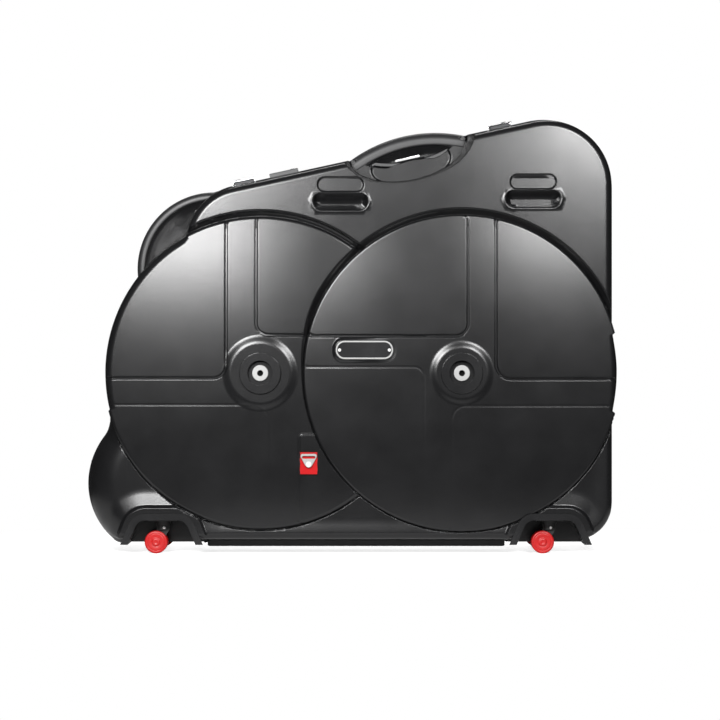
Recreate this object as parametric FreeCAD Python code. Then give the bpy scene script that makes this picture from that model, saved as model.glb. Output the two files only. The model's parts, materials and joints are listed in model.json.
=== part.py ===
import FreeCAD, Part
import math
import os

V = FreeCAD.Vector

# Frame: +Z up, the case stands on its casters at Z = 0, X runs along its length, the front is at -Y.
# The parting plane of the two shells is Y = 0. Sizes are in millimetres and degrees.

# Case body
BODY_RIGHT = 585.0
BODY_LEFT = -364.0
BODY_BOTTOM = 22.0
BODY_FACE = 162.0
BODY_DRAFT = 5.5
BODY_EDGE = 16.0
TOP_SLOPE = 12.3
TOP_AT_CENTRE = 882.4
CORNER_TOP_RIGHT = 156.0
CORNER_BOTTOM_RIGHT = 90.0
CORNER_TOP_LEFT = 70.0
WALL = 3.2
RIM_BAND = 30.0
PARTING_GAP = 2.0

# Wheel discs, their hub bosses and the soft lower-left lobe
HUB_X = {"left": -204.0, "right": 241.0}
HUB_Z = 401.0
DISC_RADIUS = 355.0
DISC_TAPER = 13.0
DISC_EDGE = 12.0
DISC_FACE = {"left": 168.0, "right": 173.0}
BOSS_RADIUS = 71.0
BOSS_TOP = 52.0
BOSS_FACE = 180.0
LOBE_X = -426.0
LOBE_Z = 155.0
LOBE_RADIUS = 170.0
LOBE_FACE = 152.0
LOBE_EDGE = 70.0
LOBE_TAPER = 8.0
LOBE_FOOT = 65.0

# Handles: a bar over the top edge and a bar round the upper-left corner, both on a central web
HANDLE_DEPTH = 46.0
HANDLE_EDGE = 7.0
HANDLE_FIT = 0.3
WEB = 6.0
SCOOP_X = 124.0
SCOOP_LENGTH = 294.0
SCOOP_DROP = 74.0
SCOOP_RISE = 50.0
TOP_BAR_SPAN = 268.0
TOP_BAR_ARCH = 29.0
TOP_BAR_THICK = 29.0
SLIT_LENGTH = 58.0
SLIT_HEIGHT = 9.0
SLIT_BELOW_TOP = 22.0
FLANGE_LEFT = -488.0
CORNER_BAR_RADIUS = 174.0
CORNER_BAR_THICK = 19.0
CORNER_BAR_FROM = 99.0
CORNER_BAR_TO = 184.0

# Moulded grip pockets under the top edge
GRIP_PLACES = ((-27.0, 781.0), (399.0, 787.0))
GRIP_LENGTH = 120.0
GRIP_HEIGHT = 38.0
GRIP_DEPTH = 22.0
LEDGE_LENGTH = 106.0
LEDGE_HEIGHT = 36.0
LEDGE_DEPTH = 4.0

# Rim frames, seal and foam pads
RIM_THICK = 6.0
RIM_DEPTH = 14.0
SEAL_INSET = 1.0
SEAL_WIDTH = 4.0
SEAL_FIT = 0.3
PAD_THICK = 8.0
PAD_FIT = 0.3
PAD_HOLE = 38.0

# Hub fittings: collar, bush, stud and clamp knob for a packed wheel
COLLAR_RADIUS = 46.0
COLLAR_FLANGE = 3.0
CUP_RADIUS = 28.0
CUP_WALL = 3.0
CUP_DEPTH = 13.0
CUP_FLOOR = 4.0
COLLAR_FIT = 0.2
COLLAR_EDGE = 1.5
BUSH_RADIUS = 17.7
BUSH_FLANGE = 4.0
BUSH_SLEEVE = 9.0
BUSH_LENGTH = 22.0
BUSH_EDGE = 1.0
STUD_RADIUS = 6.0
STUD_RECESS = 8.0
STUD_LENGTH = 84.0
STUD_NUT = 13.0
STUD_NUT_THICK = 8.0
STUD_NUT_EDGE = 1.0
KNOB_RADIUS = 26.0
KNOB_THICK = 18.0
KNOB_LOBES = 6
KNOB_LOBE = 7.0
KNOB_BORE_FIT = 0.08
KNOB_SETBACK = 10.0

# Swivel casters in their housings
WHEEL_X = {"left": -437.0, "right": 422.0}
CASTER_Y = 116.0
WHEEL_RADIUS = 25.5
WHEEL_WIDTH = 11.0
WHEEL_EDGE = 3.0
FORK_WIDTH = 12.0
FORK_SIDE_GAP = 0.5
CASTER_TRAIL = 15.0
AXLE_RADIUS = 3.0
AXLE_HEAD = 6.0
AXLE_HEAD_THICK = 1.5
AXLE_FIT = 0.08
FORK_CLEAR = 2.0
FORK_HUB = 12.0
FORK_COLLAR = 14.0
KING_PIN_RADIUS = 5.0
KING_PIN_LENGTH = 18.0
KING_PIN_FIT = 0.08
PLATE_THICK = 3.0
PLATE_SIZE = 62.0
RACE_RADIUS = 17.0
RACE_GAP = 0.4
ARCH_BASE = 150.0
ARCH_TOP = 104.0
ARCH_HEIGHT = 76.0
ARCH_CORNER = 24.0
ARCH_BACK = 66.0
HOUSING_WALL = 3.0
HOUSING_FIT = 0.3
HOUSING_FLANGE = 15.0
HOUSING_LIP = 5.0
FLARE_MARGIN = 32.0
FLARE_FACE = 171.0

# Runners under the case, between the caster arches
RUNNER_FROM = -306.0
RUNNER_TO = 321.0
RUNNER_NEAR = 40.0
RUNNER_FAR = 66.0
RUNNER_BOTTOM = 12.0
RUNNER_EDGE = 4.0

# Bottom hinges
HINGE_X = (-240.0, 20.0, 280.0)
HINGE_DROP = 6.0
HINGE_WIDTH = 60.0
HINGE_LEAF = 26.0
HINGE_THICK = 2.5
KNUCKLE_RADIUS = 5.0
KNUCKLE_MIDDLE = 20.0
KNUCKLE_GAP = 0.3
PIN_RADIUS = 2.5
PIN_FIT = 0.06
RIVET_RADIUS = 3.5
RIVET_HEIGHT = 1.6
RIVET_PITCH = 40.0
RIVET_SETBACK = 18.0

# Draw latches and the lock on the top edge
LATCH_X = {"left": -247.0, "right": 334.0}
LATCH_HALF = 20.0
LATCH_PLATE = 3.0
LATCH_NEAR = 3.0
LATCH_FAR = 29.0
LEVER_PIVOT_Y = 8.0
LEVER_PIVOT_N = 8.0
LEVER_END = 36.0
LEVER_THICK = 5.0
LEVER_PIN = 2.0
LEVER_PIN_FIT = 0.08
EAR_THICK = 3.0
EAR_GAP = 0.5
BAIL_PIVOT_Y = 20.0
BAIL_PIVOT_N = 9.0
BAIL_WIRE = 1.5
BAIL_FIT = 0.1
BAIL_REACH = 16.0
BAIL_SIDE_GAP = 1.0
KEEPER_POST = 6.0
KEEPER_FIT = 0.4
KEY_RADIUS = 6.0
KEY_HEIGHT = 3.5
KEY_SEAT = 2.0
KEY_FIT = 0.1
KEY_SLOT = 1.0
KEY_OFFSET = 12.0
KEY_Y = 28.5
LOCK_X = -155.0
LOCK_LENGTH = 66.0
LOCK_DEPTH = 27.0
LOCK_HEIGHT = 9.0
LOCK_EDGE = 2.0
BUTTON_AT = 20.0
BUTTON_SIZE = 9.0
BUTTON_HEIGHT = 3.5
BUTTON_TRAVEL = 8.0
BUTTON_STEM = 4.0
BUTTON_SINK = 4.0
BUTTON_FIT = 0.3

# Nameplate and tow anchor on the front face
NAMEPLATE_X = 26.0
NAMEPLATE_Z = 452.0
NAMEPLATE_LENGTH = 126.0
NAMEPLATE_HEIGHT = 40.0
NAMEPLATE_CORNER = 16.0
NAMEPLATE_THICK = 2.0
NAMEPLATE_RIVET_PITCH = 110.0
TOW_X = -97.0
TOW_Z = 200.0
TOW_RIVET = 6.5
TOW_RIVET_HEAD = 2.0
TOW_SHANK = 3.5
TOW_FIT = 0.1
RING_WIRE = 2.2
RING_HALF = 19.0
RING_RISE = 19.0
RING_EYE = 8.0
RING_STANDOFF = 3.0
TAB_WIDTH = 32.0
TAB_THICK = 2.0
TAB_TAIL = 42.0
TAB_FIT = 0.4

HALF_GAP = PARTING_GAP / 2
SLOPE_TAN = math.tan(math.radians(TOP_SLOPE))
FAR = 2000.0
OVERRUN = 5.0


def box(x0, x1, y0, y1, z0, z1):
    """Block between two corners."""
    return Part.makeBox(x1 - x0, y1 - y0, z1 - z0, V(x0, y0, z0))


def rod(start, end, radius):
    """Round bar from one point to another."""
    along = end - start
    return Part.makeCylinder(radius, along.Length, start, along)


def fuse(shapes):
    """One solid from overlapping ones."""
    return shapes[0].multiFuse(shapes[1:]).removeSplitter()


def to_rear(shape):
    """The same piece on the other side of the parting plane."""
    return shape.mirror(V(0, 0, 0), V(0, 1, 0))


def rounded_wire(corners, place):
    """Closed wire through corners (u, v, radius), each rounded by its radius."""
    stops = []
    count = len(corners)
    for index, (u, v, radius) in enumerate(corners):
        point = V(u, v, 0)
        before = V(*corners[index - 1][:2], 0) - point
        after = V(*corners[(index + 1) % count][:2], 0) - point
        before.normalize()
        after.normalize()
        if radius == 0:
            stops.append((point, None, point))
            continue
        half = before.getAngle(after) / 2
        reach = radius / math.tan(half)
        middle = before + after
        middle.normalize()
        crest = point + middle * (radius / math.sin(half) - radius)
        stops.append((point + before * reach, crest, point + after * reach))
    edges = []
    for index, (start, crest, end) in enumerate(stops):
        if crest is not None:
            edges.append(Part.Arc(place(start), place(crest), place(end)).toShape())
        following = stops[(index + 1) % count][0]
        if (following - end).Length > 1e-6:
            edges.append(Part.LineSegment(place(end), place(following)).toShape())
    return Part.Wire(edges)


def upright(y):
    """Places outline points (x, z) in the upright plane at depth y."""
    return lambda p: V(p.x, y, p.y)


def prism(corners, y0, y1):
    """Outline in X and Z, extruded from depth y0 to y1."""
    return Part.Face(rounded_wire(corners, upright(y0))).extrude(V(0, y1 - y0, 0))


def turned(profile, x, z):
    """Profile corners (radius, y, rounding) turned about the Y axis through (x, z)."""
    wire = rounded_wire(profile, lambda p: V(x + p.x, p.y, z))
    return Part.Face(wire).revolve(V(x, 0, z), V(0, 1, 0), 360)


def top_at(x):
    """Height of the sloping top line at x."""
    return TOP_AT_CENTRE + SLOPE_TAN * x


def on_top_line(shape, x):
    """Moves a piece modelled about its own origin onto the sloping top line at x."""
    shape.rotate(V(0, 0, 0), V(0, 1, 0), -TOP_SLOPE)
    shape.translate(V(x, 0, top_at(x)))
    return shape


def body_corners(inset):
    """Outline of the body slab, moved inwards by inset."""
    right = BODY_RIGHT - inset
    left = BODY_LEFT + inset
    bottom = BODY_BOTTOM + inset
    lift = inset / math.cos(math.radians(TOP_SLOPE))
    return [
        (left, bottom, 0),
        (right, bottom, CORNER_BOTTOM_RIGHT - inset),
        (right, top_at(right) - lift, CORNER_TOP_RIGHT - inset),
        (left, top_at(left) - lift, CORNER_TOP_LEFT - inset),
    ]


def body_slab(inset, start):
    """Half of the body slab: straight at the rim, drafted behind it, rounded at the face."""
    face = BODY_FACE - inset
    band = prism(body_corners(inset), start, -RIM_BAND)
    draft = (BODY_FACE - RIM_BAND) * math.tan(math.radians(BODY_DRAFT))
    rim_wire = rounded_wire(body_corners(inset), upright(-RIM_BAND))
    face_wire = rounded_wire(body_corners(inset + draft), upright(-face))
    drafted = Part.makeLoft([rim_wire, face_wire], True, True)
    front_edges = [e for e in drafted.Edges if all(abs(p.Y + face) < 1e-3 for p in e.Vertexes)]
    bottom = BODY_BOTTOM + inset + draft
    left = BODY_LEFT + inset + draft
    outer_edges = [e for e in front_edges
                   if not all(abs(p.X - left) < 1e-3 for p in e.Vertexes)
                   and not all(abs(p.Z - bottom) < 1e-3 for p in e.Vertexes)]
    return fuse([band, drafted.makeFillet(BODY_EDGE - inset, outer_edges)])


def disc(side, inset, start):
    """Half of a wheel disc: straight at the rim, tapered behind it."""
    radius = DISC_RADIUS - inset
    face = DISC_FACE[side] - inset
    profile = [
        (0, start, 0),
        (radius, start, 0),
        (radius, -RIM_BAND, 0),
        (radius - DISC_TAPER, -face, DISC_EDGE),
        (0, -face, 0),
    ]
    return turned(profile, HUB_X[side], HUB_Z)


def boss(side, inset, start):
    """Hub boss on the face of a wheel disc."""
    profile = [
        (0, start, 0),
        (BOSS_RADIUS - inset, start, 0),
        (BOSS_RADIUS - inset, -DISC_FACE[side] + inset, 0),
        (BOSS_TOP, -BOSS_FACE + inset, 0),
        (0, -BOSS_FACE + inset, 0),
    ]
    return turned(profile, HUB_X[side], HUB_Z)


def lobe(inset, start):
    """Soft lower-left corner of the case."""
    profile = [
        (0, start, 0),
        (LOBE_RADIUS - inset, start, 0),
        (LOBE_RADIUS - inset, -RIM_BAND, 0),
        (LOBE_RADIUS - LOBE_TAPER - inset, -LOBE_FACE + inset, LOBE_EDGE - inset),
        (0, -LOBE_FACE + inset, 0),
    ]
    return turned(profile, LOBE_X, LOBE_Z).common(lobe_foot(inset, start))


def lobe_foot(inset, start):
    """Room of the lobe over the bottom of the case, rounded where the lobe turns under."""
    rise = LOBE_Z - BODY_BOTTOM - LOBE_FOOT
    reach = LOBE_RADIUS - LOBE_FOOT
    nx = -math.sqrt(reach * reach - rise * rise) / reach
    nz = -rise / reach
    x = LOBE_X + (LOBE_RADIUS - inset) * nx
    z = LOBE_Z + (LOBE_RADIUS - inset) * nz
    bottom = BODY_BOTTOM + inset
    far = 2 * LOBE_RADIUS
    corners = [
        (HUB_X["left"], bottom, 0),
        (HUB_X["left"], HUB_Z, 0),
        (x + far * nz, z - far * nx, 0),
        (x - nz * (bottom - z) / nx, bottom, LOBE_FOOT - inset),
    ]
    return prism(corners, start, -FAR)


def swivel_x(side):
    """Where a caster swivels: ahead of its wheels by the trail."""
    return WHEEL_X[side] + CASTER_TRAIL


def arch_corners(side, margin, base):
    """Outline of a caster arch, grown by margin, standing on height base."""
    x = swivel_x(side)
    lean = (ARCH_BASE - ARCH_TOP) / 2 / (ARCH_HEIGHT - BODY_BOTTOM)
    middle = ARCH_TOP / 2 + margin * math.hypot(1, lean)
    top = ARCH_HEIGHT + margin
    low = middle + lean * (ARCH_HEIGHT - base)
    high = middle - lean * margin
    return [
        (x - low, base, 0),
        (x + low, base, 0),
        (x + high, top, ARCH_CORNER + margin),
        (x - high, top, ARCH_CORNER + margin),
    ]


def flare(side, inset, start):
    """Raised border round a caster arch."""
    corners = arch_corners(side, FLARE_MARGIN - inset, BODY_BOTTOM + inset)
    border = prism(corners, start, -FLARE_FACE + inset)
    slab = prism(body_corners(inset), start, -FAR)
    round_end = Part.makeCylinder(LOBE_RADIUS - inset, FAR, V(LOBE_X, start, LOBE_Z), V(0, -1, 0))
    return border.common(fuse([slab, round_end.common(lobe_foot(inset, start))]))


def corner_flange():
    """Web of the corner handle: reaches out of the body at the parting plane."""
    radius = CORNER_BAR_RADIUS - CORNER_BAR_THICK - HANDLE_FIT
    x, z = corner_centre()
    plate = Part.makeCylinder(radius, WEB - HALF_GAP, V(x, -WEB, z), V(0, 1, 0))
    leg = box(x - radius, x, -WEB, -HALF_GAP, HUB_Z, z)
    return fuse([plate, leg])


def corner_centre():
    """Centre of the corner handle's arc, which touches the top line and the left flange."""
    x = FLANGE_LEFT + CORNER_BAR_RADIUS
    z = top_at(x) - CORNER_BAR_RADIUS / math.cos(math.radians(TOP_SLOPE))
    return x, z


def scoop(grow, near):
    """Hollow under the top handle: an ellipse along the top line that rises towards the rim."""
    major = SCOOP_LENGTH / 2 + grow
    minor = SCOOP_DROP + grow
    slope = math.radians(TOP_SLOPE)
    along = V(math.cos(slope), 0, math.sin(slope))
    start = V(SCOOP_X, -BODY_FACE - OVERRUN, top_at(SCOOP_X))
    ellipse = Part.Ellipse(start + along * major, start + V(-along.z, 0, along.x) * minor, start)
    face = Part.Face(Part.Wire(ellipse.toShape()))
    run = BODY_FACE + OVERRUN + near
    return face.extrude(V(0, run, SCOOP_RISE * run / BODY_FACE))


def top_bar_arc():
    """Centre height, over the top line, and radius of the top handle's arch."""
    half = TOP_BAR_SPAN / 2
    radius = (half * half + TOP_BAR_ARCH * TOP_BAR_ARCH) / (2 * TOP_BAR_ARCH)
    return TOP_BAR_ARCH - radius, radius


def top_bar(grow):
    """Arched bar of the top handle, grown by grow on every side."""
    centre, radius = top_bar_arc()
    depth = HANDLE_DEPTH / 2 + grow
    low = V(0, -depth, centre)
    outer = Part.makeCylinder(radius + grow, 2 * depth, low, V(0, 1, 0))
    inner = Part.makeCylinder(radius - TOP_BAR_THICK - grow, 2 * depth, low, V(0, 1, 0))
    half = TOP_BAR_SPAN / 2 + grow
    window = box(-half, half, -depth, depth, -FAR, FAR)
    return outer.cut(inner).common(window).common(box(-FAR, FAR, -FAR, FAR, centre, FAR))


def pill(x, z, length, height, y0, y1):
    """Flat-sided pocket with round ends."""
    half = length / 2
    rise = height / 2
    corners = [(x - half, z - rise, rise), (x + half, z - rise, rise),
               (x + half, z + rise, rise), (x - half, z + rise, rise)]
    return prism(corners, y0, y1)


def grip_pockets(grow):
    """Grip pockets with the shallow ledge over each."""
    cuts = []
    for x, z in GRIP_PLACES:
        floor = -BODY_FACE + GRIP_DEPTH + grow
        cuts.append(pill(x, z, GRIP_LENGTH + 2 * grow, GRIP_HEIGHT + 2 * grow, -FAR, floor))
        ledge = -BODY_FACE + LEDGE_DEPTH + grow
        high = z + (GRIP_HEIGHT + LEDGE_HEIGHT) / 2
        cuts.append(pill(x, high, LEDGE_LENGTH + 2 * grow, LEDGE_HEIGHT + 2 * grow, -FAR, ledge))
    return cuts


def half_form(inset, start):
    """Front half of the case as a full form, moved inwards by inset."""
    shapes = [body_slab(inset, start), lobe(inset, start)]
    for side in HUB_X:
        shapes.append(disc(side, inset, start))
        shapes.append(boss(side, inset, start))
        shapes.append(flare(side, inset, start))
    return fuse(shapes)


def housing_room(side, grow):
    """Room of a caster housing, with the rebate for its front flange, grown by grow."""
    well = arch_corners(side, HOUSING_WALL + grow, -OVERRUN)
    rebate = arch_corners(side, HOUSING_FLANGE + grow, -OVERRUN)
    return [prism(well, -FAR, -ARCH_BACK + HOUSING_WALL + grow),
            prism(rebate, -FAR, -FLARE_FACE + HOUSING_LIP + grow)]


def half_inside():
    """Hollow of the front half."""
    cuts = grip_pockets(WALL)
    for side in HUB_X:
        cuts += housing_room(side, HOUSING_FIT + WALL)
    return hollow(WALL).cut(cuts)


def half_shell(inside):
    """Thin shell of the front half, with its handle hollows, arches and hub holes."""
    form = fuse([half_form(0, -HALF_GAP), corner_flange()])
    cuts = [inside, scoop(0, -WEB), corner_bar(HANDLE_FIT)]
    cuts.append(on_top_line(top_bar(HANDLE_FIT), SCOOP_X))
    slit = box(-SLIT_LENGTH / 2, SLIT_LENGTH / 2, -FAR, FAR, -SLIT_HEIGHT / 2, SLIT_HEIGHT / 2)
    slit.translate(V(0, 0, -SLIT_BELOW_TOP))
    cuts.append(on_top_line(slit, SCOOP_X))
    for side in HUB_X:
        cuts += housing_room(side, HOUSING_FIT)
        hole = CUP_RADIUS + CUP_WALL + COLLAR_FIT
        cuts.append(rod(V(HUB_X[side], -FAR, HUB_Z), V(HUB_X[side], -BODY_FACE + OVERRUN, HUB_Z), hole))
    return form.cut(cuts + grip_pockets(0))


def hollow(inset):
    """Front half moved inwards by inset, less the room that the handles take."""
    room = [scoop(inset, 2 * OVERRUN), corner_bar(inset + HANDLE_FIT)]
    room.append(on_top_line(top_bar(inset + HANDLE_FIT), SCOOP_X))
    return half_form(inset, OVERRUN).cut(room)


def ring_between(outer_inset, inner_inset, y0, y1):
    """Frame that follows the rim of the case, between two insets from its outside."""
    ring = hollow(outer_inset).cut(hollow(inner_inset))
    return ring.common(box(-FAR, FAR, y0, y1, -FAR, FAR))


def foam_pad(inside):
    """Foam sheet against the inner face of the front half."""
    back = -BODY_FACE + WALL + PAD_FIT
    sheet = inside.common(box(-FAR, FAR, back, back + PAD_THICK, -FAR, FAR))
    holes = [rod(V(HUB_X[s], -FAR, HUB_Z), V(HUB_X[s], 0, HUB_Z), PAD_HOLE) for s in HUB_X]
    shrunk = half_form(WALL + PAD_FIT, OVERRUN)
    return max(sheet.common(shrunk).cut(holes).Solids, key=lambda s: s.Volume)


def top_handle():
    """Top handle with softened edges."""
    return on_top_line(soften(top_bar(0), HANDLE_EDGE), SCOOP_X)


def soften(shape, radius):
    """Rounds the long edges on the two side faces of a handle bar."""
    side = HANDLE_DEPTH / 2
    edges = [e for e in shape.Edges
             if all(abs(abs(p.Y) - side) < 1e-3 for p in e.Vertexes) and e.Length > HANDLE_DEPTH]
    return shape.makeFillet(radius, edges)


def corner_bar(grow):
    """Bar round the upper-left corner, grown by grow on every side."""
    x, z = corner_centre()
    depth = V(0, HANDLE_DEPTH / 2 + grow, 0)
    inner = CORNER_BAR_RADIUS - CORNER_BAR_THICK - grow
    margin = math.degrees(grow / CORNER_BAR_RADIUS)
    start = math.radians(CORNER_BAR_FROM - margin)
    spoke = V(math.cos(start), 0, math.sin(start))
    centre = V(x, 0, z)
    low = centre + spoke * inner
    high = centre + spoke * (CORNER_BAR_RADIUS + grow)
    section = Part.makePolygon([low - depth, high - depth, high + depth, low + depth, low - depth])
    sweep = CORNER_BAR_TO - CORNER_BAR_FROM + 2 * margin
    return Part.Face(section).revolve(centre, V(0, -1, 0), sweep)


def corner_handle():
    """Handle bar round the upper-left corner, fitted to the rim of the left disc."""
    hub = V(HUB_X["left"], -FAR, HUB_Z)
    clear = rod(hub, hub + V(0, 2 * FAR, 0), DISC_RADIUS + HANDLE_FIT)
    return soften(corner_bar(0), HANDLE_EDGE).cut(clear)


def hub_collar(side):
    """Cup set into a hub boss, with a flange on the boss face."""
    face = -BOSS_FACE
    floor = face - COLLAR_FLANGE + CUP_DEPTH
    tube = CUP_RADIUS + CUP_WALL
    profile = [
        (BUSH_SLEEVE, floor, 0),
        (CUP_RADIUS, floor, 0),
        (CUP_RADIUS, face - COLLAR_FLANGE, 0),
        (COLLAR_RADIUS, face - COLLAR_FLANGE, COLLAR_EDGE),
        (COLLAR_RADIUS, face, 0),
        (tube, face, 0),
        (tube, floor + CUP_FLOOR, 0),
        (BUSH_SLEEVE, floor + CUP_FLOOR, 0),
    ]
    return turned(profile, HUB_X[side], HUB_Z)


def bush_face():
    """Depth of the outer face of the metal bush."""
    return -BOSS_FACE - COLLAR_FLANGE + CUP_DEPTH - BUSH_FLANGE


def hub_bush(side):
    """Metal bush with its flange in the cup."""
    face = bush_face()
    profile = [
        (STUD_RADIUS, face, 0),
        (BUSH_RADIUS, face, BUSH_EDGE),
        (BUSH_RADIUS, face + BUSH_FLANGE, 0),
        (BUSH_SLEEVE, face + BUSH_FLANGE, 0),
        (BUSH_SLEEVE, face + BUSH_LENGTH, 0),
        (STUD_RADIUS, face + BUSH_LENGTH, 0),
    ]
    return turned(profile, HUB_X[side], HUB_Z)


def wheel_stud(side):
    """Stud that carries a packed wheel, with its collar behind the bush."""
    face = bush_face()
    seat = face + BUSH_LENGTH
    profile = [
        (0, face + STUD_RECESS, 0),
        (STUD_RADIUS, face + STUD_RECESS, 0),
        (STUD_RADIUS, seat, 0),
        (STUD_NUT, seat, STUD_NUT_EDGE),
        (STUD_NUT, seat + STUD_NUT_THICK, STUD_NUT_EDGE),
        (STUD_RADIUS, seat + STUD_NUT_THICK, 0),
        (STUD_RADIUS, face + STUD_LENGTH, 0),
        (0, face + STUD_LENGTH, 0),
    ]
    return turned(profile, HUB_X[side], HUB_Z)


def clamp_knob(side):
    """Lobed hand knob on a wheel stud."""
    end = bush_face() + STUD_LENGTH - KNOB_SETBACK
    start = end - KNOB_THICK
    x = HUB_X[side]
    knob = rod(V(x, start, HUB_Z), V(x, end, HUB_Z), KNOB_RADIUS)
    hollows = [rod(V(x, start, HUB_Z), V(x, end, HUB_Z), STUD_RADIUS + KNOB_BORE_FIT)]
    for index in range(KNOB_LOBES):
        turn = 2 * math.pi * index / KNOB_LOBES
        cx = x + KNOB_RADIUS * math.cos(turn)
        cz = HUB_Z + KNOB_RADIUS * math.sin(turn)
        hollows.append(rod(V(cx, start, cz), V(cx, end, cz), KNOB_LOBE))
    return knob.cut(hollows)


def caster_housing(side):
    """Liner of a caster arch with its front flange, open at the front and below."""
    liner = prism(arch_corners(side, HOUSING_WALL, BODY_BOTTOM), -FLARE_FACE, -ARCH_BACK + HOUSING_WALL)
    flange = prism(arch_corners(side, HOUSING_FLANGE, BODY_BOTTOM), -FLARE_FACE, -FLARE_FACE + HOUSING_LIP)
    inner = prism(arch_corners(side, 0, 0), -FAR, -ARCH_BACK)
    pin = V(swivel_x(side), -CASTER_Y, 0)
    hole = rod(pin, pin + V(0, 0, FAR), KING_PIN_RADIUS)
    return fuse([liner, flange]).cut([inner, hole])


def plate_low():
    """Height of the underside of a caster plate."""
    return ARCH_HEIGHT - PLATE_THICK


def caster_plate(side):
    """Caster plate under the arch roof, with its king pin."""
    x = swivel_x(side)
    half = PLATE_SIZE / 2
    plate = box(x - half, x + half, -CASTER_Y - half, -CASTER_Y + half, plate_low(), ARCH_HEIGHT)
    race = rod(V(x, -CASTER_Y, fork_top() + RACE_GAP), V(x, -CASTER_Y, plate_low()), RACE_RADIUS)
    top = V(x, -CASTER_Y, ARCH_HEIGHT + HOUSING_WALL)
    pin = rod(top - V(0, 0, HOUSING_WALL + KING_PIN_LENGTH + PLATE_THICK), top, KING_PIN_RADIUS)
    return fuse([plate, race, pin])


def fork_low():
    """Height of the underside of a caster's swivel hub, clear of the wheels."""
    return 2 * WHEEL_RADIUS + FORK_CLEAR


def fork_top():
    """Height of the top of a caster's swivel hub."""
    return fork_low() + FORK_HUB


def wheel_centre(side):
    """Centre of a caster's pair of wheels."""
    return V(WHEEL_X[side], -CASTER_Y, WHEEL_RADIUS)


def caster_fork(side):
    """Body of a caster between its two wheels, bored for the axle and the king pin."""
    x = swivel_x(side)
    half = FORK_WIDTH / 2
    hub = rod(V(x, -CASTER_Y, fork_low()), V(x, -CASTER_Y, fork_top()), FORK_COLLAR)
    centre = wheel_centre(side)
    reach = WHEEL_RADIUS / 2
    eye = rod(centre - V(0, half, 0), centre + V(0, half, 0), reach)
    web = prism([(centre.x - reach, centre.z, 0), (centre.x + reach, centre.z, 0),
                 (x + FORK_COLLAR, fork_low(), 0), (x + FORK_COLLAR, fork_top(), 0),
                 (x - FORK_COLLAR, fork_top(), 0), (x - FORK_COLLAR, fork_low(), 0)],
                -CASTER_Y - half, -CASTER_Y + half)
    bored = [rod(centre - V(0, FORK_WIDTH, 0), centre + V(0, FORK_WIDTH, 0), AXLE_RADIUS + AXLE_FIT)]
    pin = V(x, -CASTER_Y, 0)
    low = ARCH_HEIGHT - PLATE_THICK - KING_PIN_LENGTH - RACE_GAP
    bored.append(rod(pin + V(0, 0, low), pin + V(0, 0, FAR), KING_PIN_RADIUS + KING_PIN_FIT))
    return fuse([hub, eye, web]).cut(bored)


def wheel_faces():
    """Distances of a wheel's inner and outer faces from the middle of its caster."""
    inner = FORK_WIDTH / 2 + FORK_SIDE_GAP
    return inner, inner + WHEEL_WIDTH


def caster_axle(side):
    """Axle through the fork, headed outside both wheels."""
    centre = wheel_centre(side)
    outer = wheel_faces()[1]
    pin = rod(centre - V(0, outer, 0), centre + V(0, outer, 0), AXLE_RADIUS)
    heads = []
    for sign in (-1, 1):
        seat = centre + V(0, sign * outer, 0)
        heads.append(rod(seat, seat + V(0, sign * AXLE_HEAD_THICK, 0), AXLE_HEAD))
    return fuse([pin] + heads)


def caster_wheels(side):
    """The two wheels of a caster."""
    centre = wheel_centre(side)
    inner, outer = wheel_faces()
    wheels = []
    for sign in (-1, 1):
        profile = [
            (AXLE_RADIUS, centre.y + sign * inner, 0),
            (WHEEL_RADIUS, centre.y + sign * inner, WHEEL_EDGE),
            (WHEEL_RADIUS, centre.y + sign * outer, WHEEL_EDGE),
            (AXLE_RADIUS, centre.y + sign * outer, 0),
        ]
        wheels.append(turned(profile, centre.x, centre.z))
    return Part.makeCompound(wheels)


def runner():
    """Runner under the front half, shaped to the drafted bottom of its shell."""
    top = BODY_BOTTOM + RUNNER_NEAR
    bar = box(RUNNER_FROM, RUNNER_TO, -RUNNER_FAR, -RUNNER_NEAR, RUNNER_BOTTOM, top)
    under = [e for e in bar.Edges if all(abs(p.Z - RUNNER_BOTTOM) < 1e-3 for p in e.Vertexes)]
    return bar.makeFillet(RUNNER_EDGE, under).cut(body_slab(0, 0))


def hinge_axis_z():
    """Height of the hinge line under the case."""
    return BODY_BOTTOM - HINGE_DROP


def hinge_leaf(x, spans, side):
    """Hinge leaf on the bottom of one half, with a knuckle over each span."""
    z = hinge_axis_z()
    near = KNUCKLE_RADIUS + HALF_GAP
    half = HINGE_WIDTH / 2
    far = side * HINGE_LEAF
    low, high = sorted((side * near, far))
    shapes = [box(x - half, x + half, low, high, BODY_BOTTOM - HINGE_THICK, BODY_BOTTOM)]
    low, high = sorted((0, side * near))
    for start, end in spans:
        shapes.append(rod(V(x + start, 0, z), V(x + end, 0, z), KNUCKLE_RADIUS))
        shapes.append(box(x + start, x + end, low, high, z, BODY_BOTTOM - HINGE_THICK / 2))
    return fuse(shapes)


def outer_spans():
    """The two outer knuckles of a hinge."""
    inner = KNUCKLE_MIDDLE / 2 + KNUCKLE_GAP
    return [(-HINGE_WIDTH / 2, -inner), (inner, HINGE_WIDTH / 2)]


def middle_span():
    """The middle knuckle of a hinge."""
    return [(-KNUCKLE_MIDDLE / 2, KNUCKLE_MIDDLE / 2)]


def hinge_bore(radius):
    """Bores along every hinge."""
    z = hinge_axis_z()
    return [rod(V(x - HINGE_WIDTH, 0, z), V(x + HINGE_WIDTH, 0, z), radius) for x in HINGE_X]


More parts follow.
